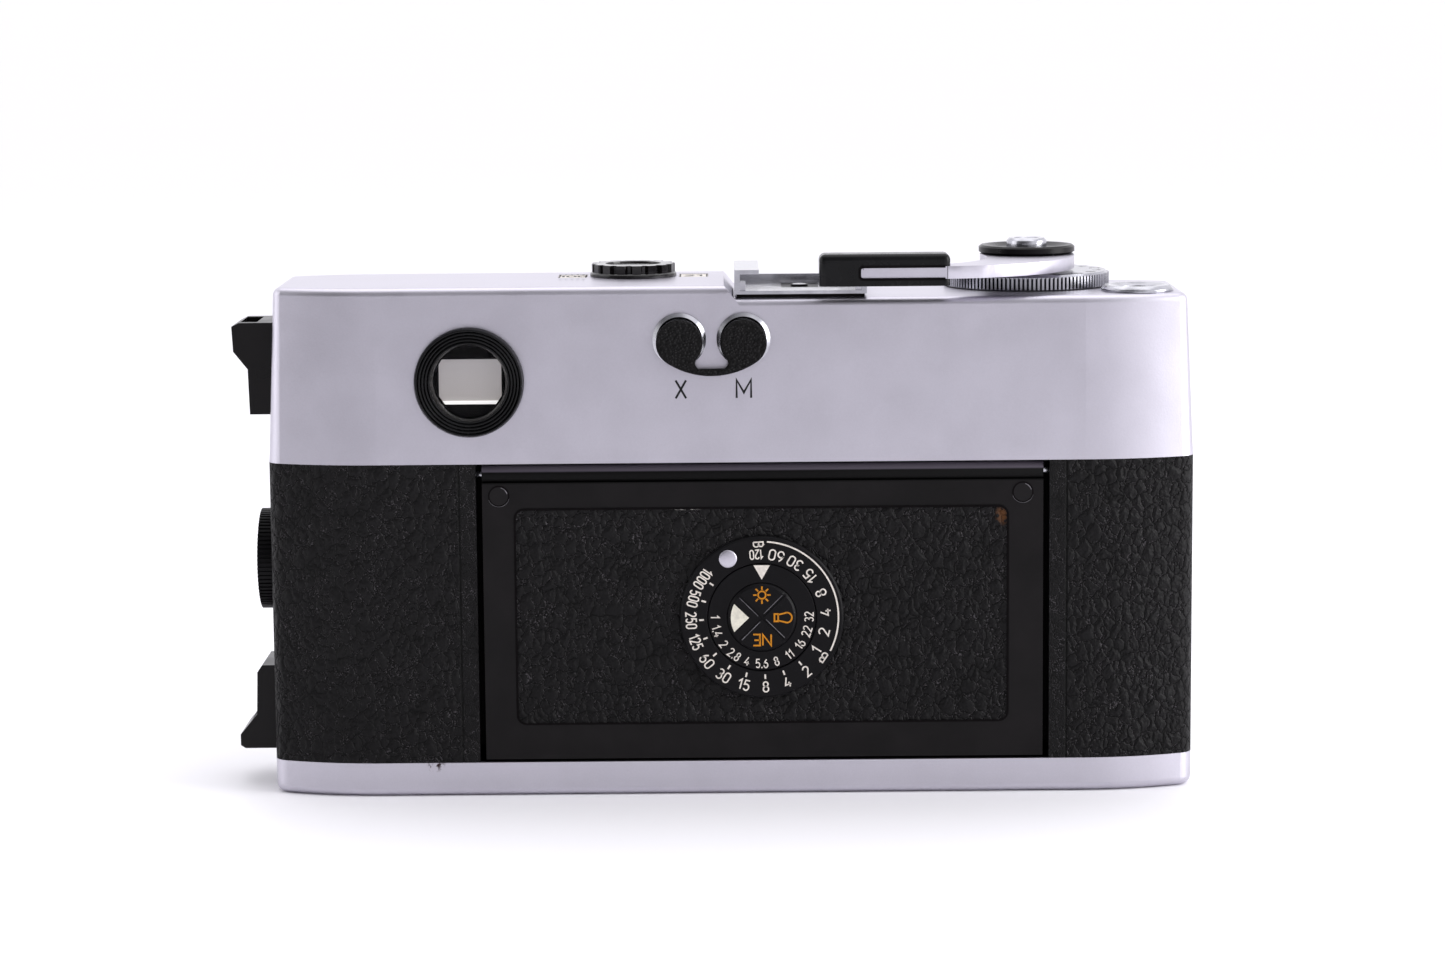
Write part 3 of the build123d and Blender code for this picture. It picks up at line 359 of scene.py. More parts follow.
def hinged_enamel():
    """The door's stoved enamel: satin on the frame, and the hinge barrel painted dead black as shade
    below its top, where a grey band is a painted highlight."""
    made, tree, shader, point = start("hinged_enamel", {"Specular IOR Level": 0.13})
    tone = tuple(colours().enamel)
    drift = add(tree, "TexNoise", {"Vector": point, "Scale": 1 / (7 * MM), "Detail": 3.0})
    streaks = add(tree, "MapRange", (drift, 0.35, 0.65, 0, 1))
    satin = add(tree, "Mix", {"Factor": streaks, "A": tone, "B": shade(tone, 1.7)}, data_type="RGBA")
    height = add(tree, "SeparateXYZ", (point,)).outputs["Z"]
    top = high("door_frame").z
    foot = top - 3.0 * MM
    # painted shade: the top 3 mm of the door, its hinge barrel, is darkened to a tenth of the enamel's
    # tone
    barrel = add(tree, "MapRange", (height, foot - 0.1 * MM, foot + 0.1 * MM, 0, 1))
    base = add(tree, "Mix", {"Factor": barrel, "A": satin, "B": shade(tone, 0.1)}, data_type="RGBA")
    # painted highlight: a grey band along the barrel's top millimetre stands for the light it catches
    rubbed = between(tree, height, top - 1.0 * MM, top, 0.12 * MM)
    base = add(tree, "Mix", {"Factor": rubbed, "A": base, "B": linear("4A454E")}, data_type="RGBA")
    rough = add(tree, "MapRange", (barrel, 0, 1, 0.32, 0.6))
    feed(tree, shader, {"Base Color": base, "Roughness": rough})
    pressed(tree, shader, point, 1.6 * MM, 0.01 * MM)
    return made


def gloss_enamel():
    """Black stoved enamel polished by the thumb: a sharp pale line where it rounds an edge."""
    return black_finish("gloss_enamel", colours().enamel, 0.45, 0.16, 7 * MM, 1.6 * MM, 0.01 * MM)


def painted_edge_highlight():
    """A painted highlight on a machined edge: a grey line standing for the light the edge catches,
    lighter in some places than others.
    """
    made, tree, shader, point = start("painted_edge_highlight", {"Specular IOR Level": 0.4})
    handled(tree, shader, (linear("3A393D"), linear("7D7B80")), 0.4, 1.5 * MM)
    return made


def black_anodising():
    """Black anodised aluminium: dense satin black that stays dark at its highlights."""
    return black_finish("black_anodising", colours().anodised, 0.1, 0.36, 2.5 * MM, 0.25 * MM,
                        0.01 * MM, lighter=1.3)


def moulded_abs():
    """Injection-moulded ABS: black with a soft sheen and a little orange peel."""
    return black_finish("moulded_abs", colours().plastic, 0.16, 0.26, 4 * MM, 0.5 * MM, 0.012 * MM)


def flat_black():
    """Flat black paint: it gives back almost no light, so an opening reads as deep."""
    return black_finish("flat_black", linear("0A0809"), 0.05, 0.8, 4 * MM, 0.5 * MM, 0.01 * MM)


def pebbled_rubber():
    """Moulded nitrile rubber with a pebbled skin: dull black with tiny glints, each pebble painted
    lighter at its crown as highlight and darker at its rim as shade.
    """
    made, tree, shader, point = start("pebbled_rubber", {"Specular IOR Level": 0.12})
    pebbles = add(tree, "TexVoronoi", {"Vector": point, "Scale": 1 / (0.42 * MM)})
    tone = tuple(colours().rubber)
    # painted highlight and shade: the tone follows the pebbles, lighter on their crowns and darker
    # between them
    tones = {"Factor": pebbles, "A": shade(tone, 1.8), "B": shade(tone, 0.5)}
    base = add(tree, "Mix", tones, data_type="RGBA")
    rough = add(tree, "MapRange", (pebbles, 0, 1, 0.34, 0.6))
    raised = add(tree, "Math", (1.0, pebbles), operation="SUBTRACT")
    bump = add(tree, "Bump", {"Height": raised, "Distance": 0.3 * MM, "Strength": 1.0})
    feed(tree, shader, {"Base Color": base, "Roughness": rough, "Normal": bump})
    return made


def coated_glass():
    """Polished and coated optical glass: clear, with a faint violet bloom over the dark inside."""
    tint = linear("D8CCF8")
    made, tree, shader, point = start("coated_glass", {
        "IOR": 1.45, "Transmission Weight": 1.0, "Specular IOR Level": 0.35,
        "Coat Weight": 0.15, "Coat Roughness": 0.03, "Coat Tint": tint})
    handled(tree, shader, (linear("F4F3F6"), linear("EDEBF2")), 0.018, 12 * MM, 0.008)
    return made


def window_glass():
    """A thin, clean pane: all but invisible face on, with a soft gleam where it turns away."""
    made, tree, shader, point = start("window_glass", {"Alpha": 0.12, "Specular IOR Level": 0.3})
    handled(tree, shader, (linear("101014"), linear("1A1A20")), 0.04, 12 * MM, 0.02)
    return made


def milk_acrylic():
    """Ribbed milk-white acrylic that lights the frame lines, each rib with its own soft shadow."""
    made, tree, shader, point = start("milk_acrylic", {"Specular IOR Level": 0.5})
    handled(tree, shader, (linear("BFC1C4"), linear("D6D8DA")), 0.26, 3 * MM)
    ribs = add(tree, "TexWave", {"Vector": point, "Scale": 0.35 / (1.0 * MM)}, bands_direction="X",
               wave_profile="TRI")
    bump = add(tree, "Bump", {"Height": ribs.outputs["Fac"], "Distance": 0.25 * MM})
    feed(tree, shader, {"Normal": bump})
    return made


def machined_brass():
    """Hobbed brass gear stock: warm and bright with fine cutter marks."""
    made, tree, shader, point = start("machined_brass", {"Metallic": 1.0})
    handled(tree, shader, (linear("B08D4A"), linear("C9A45C")), 0.28, 2 * MM, 0.06)
    pressed(tree, shader, point, 0.2 * MM, 0.008 * MM, (1, 1, 6))
    return made


def cast_alloy():
    """Die-cast aluminium sprayed flat black against stray light, bare metal just showing through."""
    made, tree, shader, point = start("cast_alloy", {"Metallic": 0.3, "Specular IOR Level": 0.2})
    handled(tree, shader, (linear("0E0E10"), linear("19191B")), 0.62, 3 * MM, 0.08)
    pressed(tree, shader, point, 0.35 * MM, 0.04 * MM, strength=0.7)
    return made


def rubberised_silk():
    """Rubberised silk shutter cloth: flat black with a barely visible plain weave.
    Its threads are too fine to show, so the weave is drawn at half a millimetre."""
    inputs = {"Sheen Weight": 0.15, "Specular IOR Level": 0.2}
    made, tree, shader, point = start("rubberised_silk", inputs)
    waves = {"Vector": point, "Scale": 0.32 / (0.5 * MM)}
    threads = [add(tree, "TexWave", waves, bands_direction=way).outputs["Fac"] for way in ("X", "Z")]
    handled(tree, shader, (linear("121214"), linear("1B1B1D")), 0.8, 6 * MM)
    weave = add(tree, "Math", threads, operation="MAXIMUM")
    bump = add(tree, "Bump", {"Height": weave, "Distance": 0.03 * MM, "Strength": 0.6})
    feed(tree, shader, {"Normal": bump})
    return made


def dial_paint(name, tone, roughness=0.5):
    """Filled-in or screen-printed paint: flat colour, slightly patchy and soiled."""
    made, tree, shader, point = start(name, {"Specular IOR Level": 0.3})
    tone = tuple(tone)
    handled(tree, shader, (shade(tone, 0.8), tone), roughness, 0.7 * MM)
    pressed(tree, shader, point, 0.3 * MM, 0.01 * MM, strength=0.4)
    return made


def painted_finder_glow(name, top_tone, foot_tone, strength):
    """A painted glow standing for the light seen through the finder: it glows evenly, a touch lighter
    towards its foot.
    """
    made, tree, shader, point = start(name, {"Emission Strength": strength, "Specular IOR Level": 0.1})
    height = add(tree, "SeparateXYZ", (point,)).outputs["Z"]
    centre, reach = middle("eyepiece_ring").z, 3.6 * MM
    rise = add(tree, "MapRange", (height, centre - reach, centre + reach, 0, 1))
    tone = add(tree, "Mix", {"Factor": rise, "A": foot_tone, "B": top_tone}, data_type="RGBA")
    cloud = add(tree, "TexNoise", {"Vector": point, "Scale": 1 / (2 * MM)})
    rough = add(tree, "MapRange", (cloud, 0.3, 0.7, 0.35, 0.5))
    feed(tree, shader, {"Base Color": tone, "Emission Color": tone, "Roughness": rough})
    return made


MATERIALS = {}


def finish(name):
    """The material of that name, made the first time it is asked for."""
    makers = {maker.__name__: maker for maker in (
        satin_chrome, scuffed_chrome, turned_chrome, knurled_chrome, stoved_enamel, hinged_enamel,
        gloss_enamel, painted_edge_highlight, flat_black, window_glass, black_anodising, moulded_abs, pebbled_rubber,
        coated_glass, milk_acrylic, machined_brass, cast_alloy, rubberised_silk)}
    makers["leathercloth_body"] = leathercloth
    makers["leathercloth_door"] = lambda: leathercloth(True)
    paints = {"white_print": colours().print_white, "orange_print": colours().print_orange,
              "cream_print": colours().print_cream, "engraving_paint": colours().engraving}
    for paint, tone in paints.items():
        makers[paint] = lambda paint=paint, tone=tone: dial_paint(paint, tone)
    makers["signal_paint"] = lambda: dial_paint("signal_paint", colours().signal, 0.3)
    # painted glows: two emissive tones standing for the light seen through the finder
    for glow, top, foot, strength in (("finder_glow", "B0ACAE", "B6B1B0", 0.6),
                                      ("finder_bright", "F6F4F2", "FBFAF8", 1.0)):
        lit = (glow, linear(top), linear(foot), strength)
        makers[glow] = lambda lit=lit: painted_finder_glow(*lit)
    if name not in MATERIALS:
        MATERIALS[name] = makers[name]()
    return MATERIALS[name]


# ---- Mesh helpers -------------------------------------------------------------------------
def publish(name, mesh, material, body, smooth=False):
    """Puts a bmesh into the scene as a piece riding on a body."""
    data = bpy.data.meshes.new(name)
    bmesh.ops.recalc_face_normals(mesh, faces=mesh.faces)
    mesh.to_mesh(data)
    mesh.free()
    piece = bpy.data.objects.new(name, data)
    bpy.context.scene.collection.objects.link(piece)
    data.materials.append(finish(material))
    if smooth:
        data.shade_smooth()
        data.set_sharp_from_angle(angle=math.radians(35))
    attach(piece, body)
    return piece


def soften(piece, width, segments=2):
    """Breaks the sharp edges of a piece with a small bevel."""
    weld = piece.modifiers.new("weld", "WELD")
    weld.merge_threshold = 0.002 * MM
    bevel = piece.modifiers.new("edge", "BEVEL")
    bevel.width = width
    bevel.segments = segments
    bevel.limit_method = "ANGLE"
    bevel.angle_limit = math.radians(38)
    bevel.use_clamp_overlap = True
    bevel.harden_normals = True


def facing(at, up, normal):
    """The matrix that lays a flat drawing at a point, with its top towards up, seen along normal."""
    up, normal = Vector(up).normalized(), Vector(normal).normalized()
    right = up.cross(normal)
    turned = Matrix((right, up, normal)).transposed().to_4x4()
    return Matrix.Translation(at) @ turned


def rectangle(left, foot, right, top):
    return [(left, foot), (right, foot), (right, top), (left, top)]


def loop(mesh, points, height, at):
    """Adds the vertices of an outline, height above the matrix's own plane."""
    return [mesh.verts.new(at @ Vector((x, y, height))) for x, y in points]


def bridge(mesh, first, second):
    """Adds the faces between two closed rings of vertices."""
    for i in range(len(first)):
        k = (i + 1) % len(first)
        mesh.faces.new((first[i], first[k], second[k], second[i]))


def flat_shape(mesh, points, at):
    """Adds a flat filled outline, drawn in the matrix's own plane."""
    mesh.faces.new(loop(mesh, points, PRINT_RISE, at))


def bow(x, y, wide, tall, start_at, stop_at, steps=12):
    """Points along part of an oval, angles in degrees."""
    turns = [math.radians(start_at + (stop_at - start_at) * i / steps) for i in range(steps + 1)]
    return [(x + wide * math.cos(a), y + tall * math.sin(a)) for a in turns]


def ribbon(mesh, points, width, at, closed=False):
    """Adds a painted line of even width along a path, mitred at its bends."""
    path = [Vector(p) for p in points]
    last = len(path) - 1
    rims = []
    for i, here in enumerate(path):
        into = here - path[i - 1] if i or closed else path[1] - here
        out = path[(i + 1) % len(path)] - here if i < last or closed else into
        into, out = into.normalized(), out.normalized()
        along = (into + out).normalized()
        side = Vector((-along.y, along.x))
        reach = width / 2 / max(0.4, along.dot(into))
        rims.append(loop(mesh, [here + side * k for k in (-reach, reach)], PRINT_RISE, at))
    for i in range(len(path) if closed else last):
        a, b = rims[i], rims[(i + 1) % len(path)]
        mesh.faces.new((a[0], b[0], b[1], a[1]))


def strokes_of(sign):
    """Width of a sign one unit high, and the pen strokes that draw it, each with whether it closes."""
    w = 0.5
    h = w / 2
    ring = bow(h, 0.3, h, 0.3, 0, 345, 20)
    tail = [(0, 0.3), (0.02, 0.45), (w * 0.24, 0.72), (w * 0.66, 1)]
    signs = {
        "0": (w, [(bow(h, 1 - h, h, h, 0, 180) + bow(h, h, h, h, 180, 360), True)]),
        "1": (0.3, [([(0.26, 0), (0.26, 1), (0, 0.74)], False)]),
        "2": (w, [(bow(h, 1 - h, h, h, 165, -35) + [(0, 0), (w, 0)], False)]),
        "3": (w, [(bow(h, 0.76, h * 0.92, 0.24, 150, -80) + bow(h, 0.27, h, 0.27, 80, -150), False)]),
        "4": (w + 0.06, [([(w * 0.62, 1), (0, 0.27), (w + 0.06, 0.27)], False),
                         ([(w * 0.78, 0.5), (w * 0.78, 0)], False)]),
        "5": (w, [([(w * 0.94, 1), (0.08, 1), (0.04, 0.56)] + bow(h, 0.31, h, 0.31, 115, -150), False)]),
        "6": (w, [(ring, True), (tail, False)]),
        "7": (w, [([(0, 1), (w, 1), (w * 0.34, 0)], False)]),
        "8": (w, [(bow(h, 0.77, h * 0.86, 0.23, 0, 345, 20), True),
                  (bow(h, 0.27, h, 0.27, 0, 345, 20), True)]),
        ".": (0.08, [([(0.04, -0.07), (0.04, 0.1)], False)]),
        "|": (0.1, [([(0.05, 0), (0.05, 1)], False)]),
        "∞": (1.1, [(bow(x, 0.4, 0.28, 0.25, 0, 345, 20), True) for x in (0.28, 0.84)]),
        "B": (w, [([(0, 0), (0, 1), (h, 1)] + bow(h, 0.77, h * 0.9, 0.23, 90, -90) + [(0, 0.54)], False),
                  ([(h, 0.54)] + bow(h, 0.27, h, 0.27, 90, -90) + [(0, 0)], False)]),
        "N": (0.74, [([(0, 0), (0, 1), (0.74, 0), (0.74, 1)], False)]),
        "E": (0.6, [([(0.6, 1), (0, 1), (0, 0), (0.6, 0)], False), ([(0, 0.52), (0.5, 0.52)], False)]),
        "X": (0.58, [([(0, 0), (0.58, 1)], False), ([(0, 1), (0.58, 0)], False)]),
        "M": (0.8, [([(0, 0), (0, 1), (0.4, 0.3), (0.8, 1), (0.8, 0)], False)]),
    }
    return signs[sign]


def lettering(mesh, text, height, at, weight=0.16, spacing=0.22, squeeze=1.0):
    """Adds a number or word, height metres tall and centred on the matrix, narrowed by squeeze."""
    signs = [strokes_of(sign) for sign in text]
    total = sum(wide for wide, _ in signs) + spacing * (len(signs) - 1)
    left = -total / 2
    for wide, lines in signs:
        for points, closed in lines:
            path = [((x + left) * squeeze * height, (y - 0.5) * height) for x, y in points]
            ribbon(mesh, path, weight * height, at, closed)
        left += wide + spacing


def arc(radius, start_at, stop_at, steps):
    """Points along part of a circle about the middle, angles in degrees."""
    return bow(0, 0, radius, radius, start_at, stop_at, steps)


def disc_points(radius, steps=40):
    return [heading(2 * math.pi * i / steps) * radius for i in range(steps)]


def lathe(mesh, profile, at, steps=96):
    """Turns a profile of (radius, height) about the matrix's own Z."""
    rings = []
    for i in range(steps):
        out = heading(2 * math.pi * i / steps)
        points = [(*(out * radius), height) for radius, height in profile]
        rings.append([mesh.verts.new(at @ Vector(point)) for point in points])
    for i in range(steps):
        bridge(mesh, rings[(i + 1) % steps], rings[i])


def prism(mesh, points, thickness, at):
    """Extrudes an outline by thickness along the matrix's own Z."""
    bottom, top = loop(mesh, points, 0, at), loop(mesh, points, thickness, at)
    mesh.faces.new(list(reversed(bottom)))
    mesh.faces.new(top)
    bridge(mesh, bottom, top)


def dress(material, **edges):
    """Gives CAD nodes a finish, and breaks their edges by a share of the usual bevel."""
    for node, share in edges.items():
        piece = NODES[node]
        piece.data.materials.clear()
        piece.data.materials.append(finish(material))
        if share:
            soften(piece, sizes().edge * share)


# ---- Operators ----------------------------------------------------------------------------
class RANGEFINDER_OT_casing(bpy.types.Operator):
    """Finishes the top plate, base plate, covering and chassis"""
    bl_idname = "rangefinder.casing"
    bl_label = "Casing"

    def execute(self, context):
        dress("satin_chrome", top_plate=0)
        dress("scuffed_chrome", base_plate=0)
        dress("leathercloth_body", leatherette=0)
        dress("cast_alloy", body_shell=0, top_deck=0)
        dress("turned_chrome", tripod_bush=1, battery_cell=1, case_screws=0.5)
        dress("stoved_enamel", strap_lugs=2)
        dress("black_anodising", battery_cover=0.6)
        dress("moulded_abs", battery_tube=0)
        self.letters()
        return {"FINISHED"}

    def letters(self):
        """The engraved X and M under the flash sockets, on the leaning rear wall."""
        lo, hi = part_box("sync_sockets")
        tall, drop = 2.9 * MM, 3.7 * MM
        height, lean = lo.z - drop, sizes().wall_lean
        rear = low("top_plate").y + (height - low("top_plate").z) * lean
        half_socket = (hi.z - lo.z) / 2
        mesh = bmesh.new()
        for x, sign in ((lo.x + half_socket + 0.2 * MM, "X"), (hi.x - half_socket, "M")):
            at = facing((x, rear, height), Vector((0, lean, 1)), Vector((0, -1, lean)))
            lettering(mesh, sign, tall, at, weight=0.12)
        publish("socket_letters", mesh, "engraving_paint", "camera")


class RANGEFINDER_OT_finder(bpy.types.Operator):
    """Finishes the eyepiece, the finder and the front windows"""
    bl_idname = "rangefinder.finder"
    bl_label = "Finder"

    def execute(self, context):
        dress("window_glass", eyepiece_glass=0)
        dress("cast_alloy", viewfinder_block=0)
        dress("coated_glass", viewfinder_window=0, rangefinder_window=0)
        dress("milk_acrylic", frosted_window=0)
        self.eyepiece_rim()
        self.eyepiece_mask()
        self.window_masks()
        return {"FINISHED"}

    def eyepiece_rim(self):
        """The eyepiece's screwed ring, with five fine ribs stepping in towards the glass."""
        lo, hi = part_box("eyepiece_ring")
        at = facing((middle("eyepiece_ring").x, hi.y, middle("eyepiece_ring").z), Z, -Y)
        outer, depth, thread, bore = (hi.x - lo.x) / 2, hi.y - lo.y, 6.9 * MM, 5.9 * MM
        seat, pitch, step = depth - 2.1 * MM, 0.52 * MM, 0.13 * MM
        profile = [(bore, 0), (thread, 0), (thread, seat), (outer, seat), (outer, depth - 0.5 * MM)]
        for i in range(5):
            ridge, crest = outer - 0.3 * MM - pitch * i, depth - step * i
            profile += [(ridge + 0.09 * MM, crest - 0.05 * MM), (ridge - 0.05 * MM, crest),
                        (ridge - 0.17 * MM, crest - 0.05 * MM), (ridge - 0.3 * MM, crest - 0.42 * MM)]
        profile.append((bore, depth - 1.5 * MM))
        mesh = bmesh.new()
        lathe(mesh, profile, at)
        rim = publish("eyepiece_rim", mesh, "moulded_abs", "camera", smooth=True)
        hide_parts("eyepiece_ring")

    def eyepiece_mask(self):
        """A dark mask with a nearly square opening, and behind it a pale painted glow for the light seen
        through the finder.
        """
        lo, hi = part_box("eyepiece_glass")
        centre, radius = middle("eyepiece_glass"), (hi.x - lo.x) / 2
        at = facing((centre.x, hi.y + 0.15 * MM, centre.z - 0.2 * MM), Z, -Y)
        wide, tall, nick, cut, sill = 5.05 * MM, 3.65 * MM, 0.5 * MM, 1.35 * MM, 0.55 * MM
        opening = [(-wide, tall - nick), (-wide + nick, tall), (wide - nick, tall), (wide, tall - nick),
                   (wide, -tall + cut), (wide - cut * 0.7, -tall), (-wide + cut * 0.7, -tall),
                   (-wide, -tall + cut)]
        border = []
        for i, corner in enumerate(opening):
            to = Vector(opening[(i + 1) % len(opening)])
            border += [Vector(corner).lerp(to, k / 10) for k in range(10)]
        rim = [p.normalized() * max(radius, p.length + 0.1 * MM) for p in border]
        mesh = bmesh.new()
        bridge(mesh, loop(mesh, rim, 0, at), loop(mesh, border, 0, at))
        publish("eyepiece_mask", mesh, "flat_black", "camera")
        lit = rectangle(-wide, -tall - 0.2 * MM, wide, -tall + sill)
        # painted glow: the disc and the sill strip behind the mask are emissive, standing for the light
        # seen through the finder
        for name, points, back, glow in (("view_glow", disc_points(radius * 0.98), 0.4, "finder_glow"),
                                         ("sill", lit, 0.2, "finder_bright")):
            mesh = bmesh.new()
            flat_shape(mesh, points, at @ Matrix.Translation((0, 0, -back * MM)))
            publish("eyepiece_" + name, mesh, glow, "camera")

    def window_masks(self):
        """A black mask and a short well behind each clear front window."""
        for node, share in (("viewfinder_window", 0.74), ("rangefinder_window", 0.62)):
            lo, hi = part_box(node)
            at = facing((middle(node).x, lo.y - 0.1 * MM, middle(node).z), Z, Y)
            w, h = (hi.x - lo.x) / 2, (hi.z - lo.z) / 2
            mesh = bmesh.new()
            rings = [loop(mesh, rectangle(-w * part, -h * part, w * part, h * part), depth, at)
                     for part, depth in ((1, 0), (share, 0), (share * 0.8, -1.5 * MM))]
            bridge(mesh, rings[0], rings[1])
            bridge(mesh, rings[1], rings[2])
            publish(node + "_mask", mesh, "black_anodising", "camera")


class RANGEFINDER_OT_flash_sockets(bpy.types.Operator):
    """Finishes the flash sockets and makes their joined rubber cap"""
    bl_idname = "rangefinder.flash_sockets"
    bl_label = "Flash sockets"

    def execute(self, context):
        dress("turned_chrome", sync_sockets=0)
        self.cap()
        return {"FINISHED"}

    def cap(self):
        """Two round heads joined by a smile-shaped strap, as one moulding with soft edges."""
        lo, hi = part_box("sync_cap")
        head, cut_back = 3.75 * MM, math.radians(47)
        reach = (hi.x - lo.x) / 2 - head
        head_z = hi.z - head
        # the outer edge is one large arc that touches both heads and the strap's lowest point
        drop = head_z - lo.z
        smile = (reach ** 2 + drop ** 2 - head ** 2) / (2 * (drop - head))
        lean = math.atan2(reach, smile - drop)
        strap = []
        for i in range(25):
            a = -lean + 2 * lean * i / 24
            strap.append((smile * math.sin(a), -drop + smile - smile * math.cos(a)))
        start_a, end_a = -math.pi / 2 + lean, math.pi + cut_back
        round_head = []
        for i in range(33):
            a = start_a + (end_a - start_a) * i / 32
            round_head.append((reach + head * math.cos(a), head * math.sin(a)))
        foot, corner = -drop + 1.15 * MM, 0.55 * MM
        half_gap = reach - head * math.cos(cut_back) + 0.05 * MM
        keyhole = [(half_gap, foot + corner * 1.4), (half_gap - corner * 0.3, foot + corner * 0.4),
                   (half_gap - corner, foot)]
        right = round_head[1:] + keyhole
        left = [(-x, z) for x, z in reversed(round_head[1:] + keyhole)]
        face, plug_deep, plug_wide, hole = hi.y - 2.0 * MM, 1.9 * MM, 2.5 * MM, 0.9 * MM
        section = [(hole, 0), (plug_wide, 0), (plug_wide, -plug_deep), (hole, -plug_deep)]
        at = facing((middle("sync_cap").x, face, head_z), Z, -Y)
        mesh = bmesh.new()
        prism(mesh, strap + right + left, face - lo.y, at)
        for side in (-1, 1):
            plug = at @ Matrix.Translation((side * reach, 0.45 * MM, 0))
            lathe(mesh, section, plug, 40)
        piece = publish("flash_socket_cap", mesh, "pebbled_rubber", "sync_cap",
                        smooth=True)
        soften(piece, 0.45 * MM, segments=4)
        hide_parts("sync_cap")


class RANGEFINDER_OT_accessory_shoe(bpy.types.Operator):
    """Finishes the accessory shoe and its contact"""
    bl_idname = "rangefinder.accessory_shoe"
    bl_label = "Accessory shoe"

    def execute(self, context):
        dress("turned_chrome", shoe_rail=0.6)
        dress("moulded_abs", shoe_contact=0)
        self.contact_point()
        self.foot_shade()
        return {"FINISHED"}

    def contact_point(self):
        """The sprung metal point in the middle of the shoe."""
        centre = middle("shoe_contact")
        at = Matrix.Translation((centre.x, centre.y, high("shoe_contact").z))
        profile = ((0.0001, 0.0), (1.0, 0.0), (1.1, 0.03), (0.9, 0.1), (0.0001, 0.12))
        mesh = bmesh.new()
        lathe(mesh, [(radius * MM, height * MM) for radius, height in profile], at, 40)
        publish("shoe_contact_point", mesh, "turned_chrome", "camera", smooth=True)

    def foot_shade(self):
        """Painted shade: a flat black band just inside the shoe's foot, where it meets the deck,
        standing for the shadow in the undercut.
        """
        lo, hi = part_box("shoe_rail")
        inset, tall = 0.35 * MM, 0.5 * MM
        outline = rectangle(lo.x + inset, lo.y + inset, hi.x - inset, hi.y - inset)
        at = Matrix.Translation((0, 0, lo.z))
        # painted shade: this flat black band stands for the shadow under the shoe's lip
        mesh = bmesh.new()
        bridge(mesh, loop(mesh, outline, 0.02 * MM, at), loop(mesh, outline, tall, at))
        publish("shoe_foot_shade", mesh, "flat_black", "camera")


